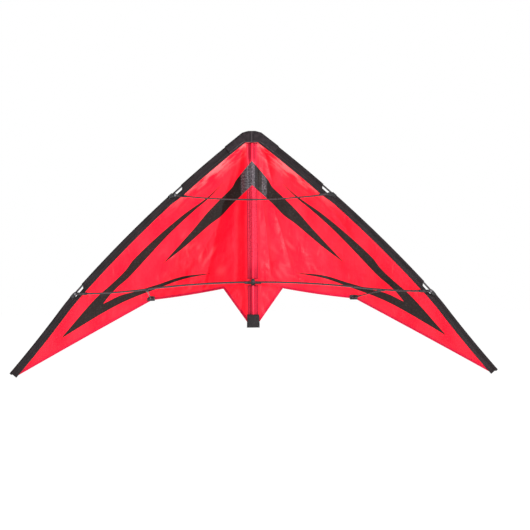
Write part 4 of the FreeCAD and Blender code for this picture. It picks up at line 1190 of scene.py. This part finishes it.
def make_tail_patch(material):
    """The hook-and-loop tape folded round the foot of the spine."""
    path = tail_patch_path()
    lengths = lengths_of(path)
    columns = np.linspace(-TAIL_PATCH_HALF, TAIL_PATCH_HALF, TAIL_PATCH_COLUMNS)
    points = np.concatenate([tail_patch_row(columns, y, z, length) for (y, z), length in zip(path, lengths)])
    across, along = np.meshgrid(columns, lengths)
    hem = np.minimum(TAIL_PATCH_HALF - abs(across), np.minimum(along, lengths[-1] - along))
    faces = grid_faces(len(path), TAIL_PATCH_COLUMNS)
    patch = sheet_object("tail_patch_tape", points, faces, flat_pair(across, along), material,
                         TAIL_PATCH_THICKNESS, 1, {"from_hem": hem.ravel() * MM})
    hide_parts("tail_patch")
    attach(patch, "keel")


def nose_outline():
    """The right half of the nose patch: its top edge and its lower edge, each from x = 0."""
    shoulder = [float(v) for v in EDGE.at(0.0, -NOSE_PROUD)]
    low = [float(v) for v in EDGE.at(NOSE_EDGE_LENGTH, -NOSE_PROUD)]
    inner = [float(v) for v in EDGE.at(NOSE_EDGE_LENGTH, SLEEVE_WIDTH + NOSE_OVERLAP)]
    top = np.array([(0.0, NOSE_TOP_Z), (NOSE_HALF_TOP, NOSE_TOP_Z), shoulder, low])
    bottom = np.array([(0.0, NOSE_LOWER_Z), (NOSE_HALF_LOWER, NOSE_LOWER_Z), inner])
    return top, bottom


def make_nose_half(side, material):
    """Half of the webbing folded over the nose: front, fold and back in one sheet."""
    top, bottom = (even(line, NOSE_COLUMNS) for line in nose_outline())
    rows = []
    hems = []
    for turn in np.linspace(-1, 1, NOSE_ROWS):
        share = abs(turn) ** NOSE_ROW_CROWDING
        plan = top + (bottom - top) * share
        reach = np.linalg.norm(bottom - top, axis=1) * share
        deep = NOSE_HALF_DEPTH * np.sqrt(1 - (1 - np.minimum(reach / NOSE_ROUND_LENGTH, 1)) ** 2)
        y = np.sign(turn) * deep * (1 - NOSE_THINNING * smooth_step(*NOSE_THINS, plan[:, 0]))
        ease = uneven("nose ease", plan[:, 0], plan[:, 1] + NOSE_BACK_SHIFT * turn, SIDES[side])
        y = y + ease * (share > NOSE_FOLD_SHARE)
        rows.append(np.stack([plan[:, 0], y, plan[:, 1]], axis=1))
        hems.append(np.linalg.norm(bottom - plan, axis=1) * MM)
    points = np.concatenate(rows)
    faces = grid_faces(NOSE_ROWS, NOSE_COLUMNS)
    patch = sheet_object(side + "_nose_webbing", points, faces, points[:, [0, 2]], material,
                         NOSE_THICKNESS, SIDES[side], {"from_hem": np.concatenate(hems)})
    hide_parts("nose_patch")
    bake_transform(patch)


# ---------------------------------------------------------------- frame materials

def dress_frame():
    """Better materials on the rods, fittings, pins and caps."""
    looks = [("_rod", rod_material()), ("_pin", metal_material("pin_steel", "steel", 0.5, 1.0, 1.0, 0.1)),
             ("_ferrule", metal_material("ferrule_tube", "ferrule", 0.3, 0.1, 1.0, 0.1)),
             ("_cap", rubber_material()), ("", moulded_material())]
    for name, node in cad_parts.items():
        material = next(look for ending, look in looks if name.endswith(ending))
        if not node.material_slots:
            node.data.materials.append(material)
        for place in node.material_slots:
            place.material = material


# ---------------------------------------------------------------- studio

def make_camera():
    """A long lens square to the kite, from the side its frame is on."""
    data = bpy.data.cameras.new("camera")
    data.lens = CAMERA_LENS
    data.sensor_width = CAMERA_SENSOR
    data.clip_end = CAMERA_REACH
    camera = bpy.data.objects.new("camera", data)
    camera.location = CAMERA_PLACE
    camera.rotation_euler = (math.pi / 2, CAMERA_ROLL, 0)
    bpy.context.scene.collection.objects.link(camera)
    bpy.context.scene.camera = camera


def area_light(name, place, size, power):
    """A soft square light that faces the kite."""
    data = bpy.data.lights.new(name, "AREA")
    data.size = size
    data.energy = power
    light = bpy.data.objects.new(name, data)
    light.location = place
    light.rotation_euler = (Vector(LIGHT_AIM) - Vector(place)).to_track_quat("-Z", "Y").to_euler()
    bpy.context.scene.collection.objects.link(light)


def make_floor():
    """A pale floor below the kite."""
    low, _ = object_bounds()
    mesh = bpy.data.meshes.new("floor")
    half = FLOOR_SIZE / 2
    level = low.z - FLOOR_DROP
    corners = [(-half, -half, level), (half, -half, level), (half, half, level), (-half, half, level)]
    mesh.from_pydata(corners, [], [(0, 1, 2, 3)])
    floor = bpy.data.objects.new("floor", mesh)
    bpy.context.scene.collection.objects.link(floor)
    look = Look("pale_floor", FLOOR_ROUGHNESS, {"Emission Color": WHITE, "Emission Strength": FLOOR_GLOW})
    base = look.mix(look.noise(look.place, 0.4, 2.0), *FLOOR_GREYS)
    mesh.materials.append(look.finish(base, FLOOR_ROUGHNESS))


def make_surround():
    """A surround that is seen white but lights the kite only softly."""
    world = bpy.data.worlds.new("surround")
    bpy.context.scene.world = world
    world.use_nodes = True
    background = world.node_tree.nodes["Background"]
    background.inputs["Color"].default_value = WHITE
    seen = world.node_tree.nodes.new("ShaderNodeLightPath").outputs["Is Camera Ray"]
    raise_seen = world.node_tree.nodes.new("ShaderNodeMapRange")
    raise_seen.inputs["To Min"].default_value = SURROUND_LIGHT
    raise_seen.inputs["To Max"].default_value = 1.0
    world.node_tree.links.new(seen, raise_seen.inputs["Value"])
    world.node_tree.links.new(raise_seen.outputs["Result"], background.inputs["Strength"])


def make_studio():
    """The floor, the surround and the lights."""
    make_floor()
    make_surround()
    for light in LIGHTS:
        area_light(*light)
    bpy.context.scene.view_settings.view_transform = "Standard"


# ---------------------------------------------------------------- assembly

def main():
    """Makes every piece and the studio."""
    dress_frame()
    sail = sail_material()
    sleeve = sleeve_material()
    webbing = webbing_material()
    for side in SIDES:
        make_sail(side, sail)
        make_sleeve(side, sleeve)
        make_nose_half(side, webbing)
    pocket = pocket_material()
    make_pocket("pocket_upper", TEE_WINDOW[1], POCKET_TOP_Z, pocket)
    make_pocket("pocket_lower", POCKET_TAIL_Z, TEE_WINDOW[0], pocket)
    make_tail_patch(loop_material())
    make_camera()
    make_studio()


main()
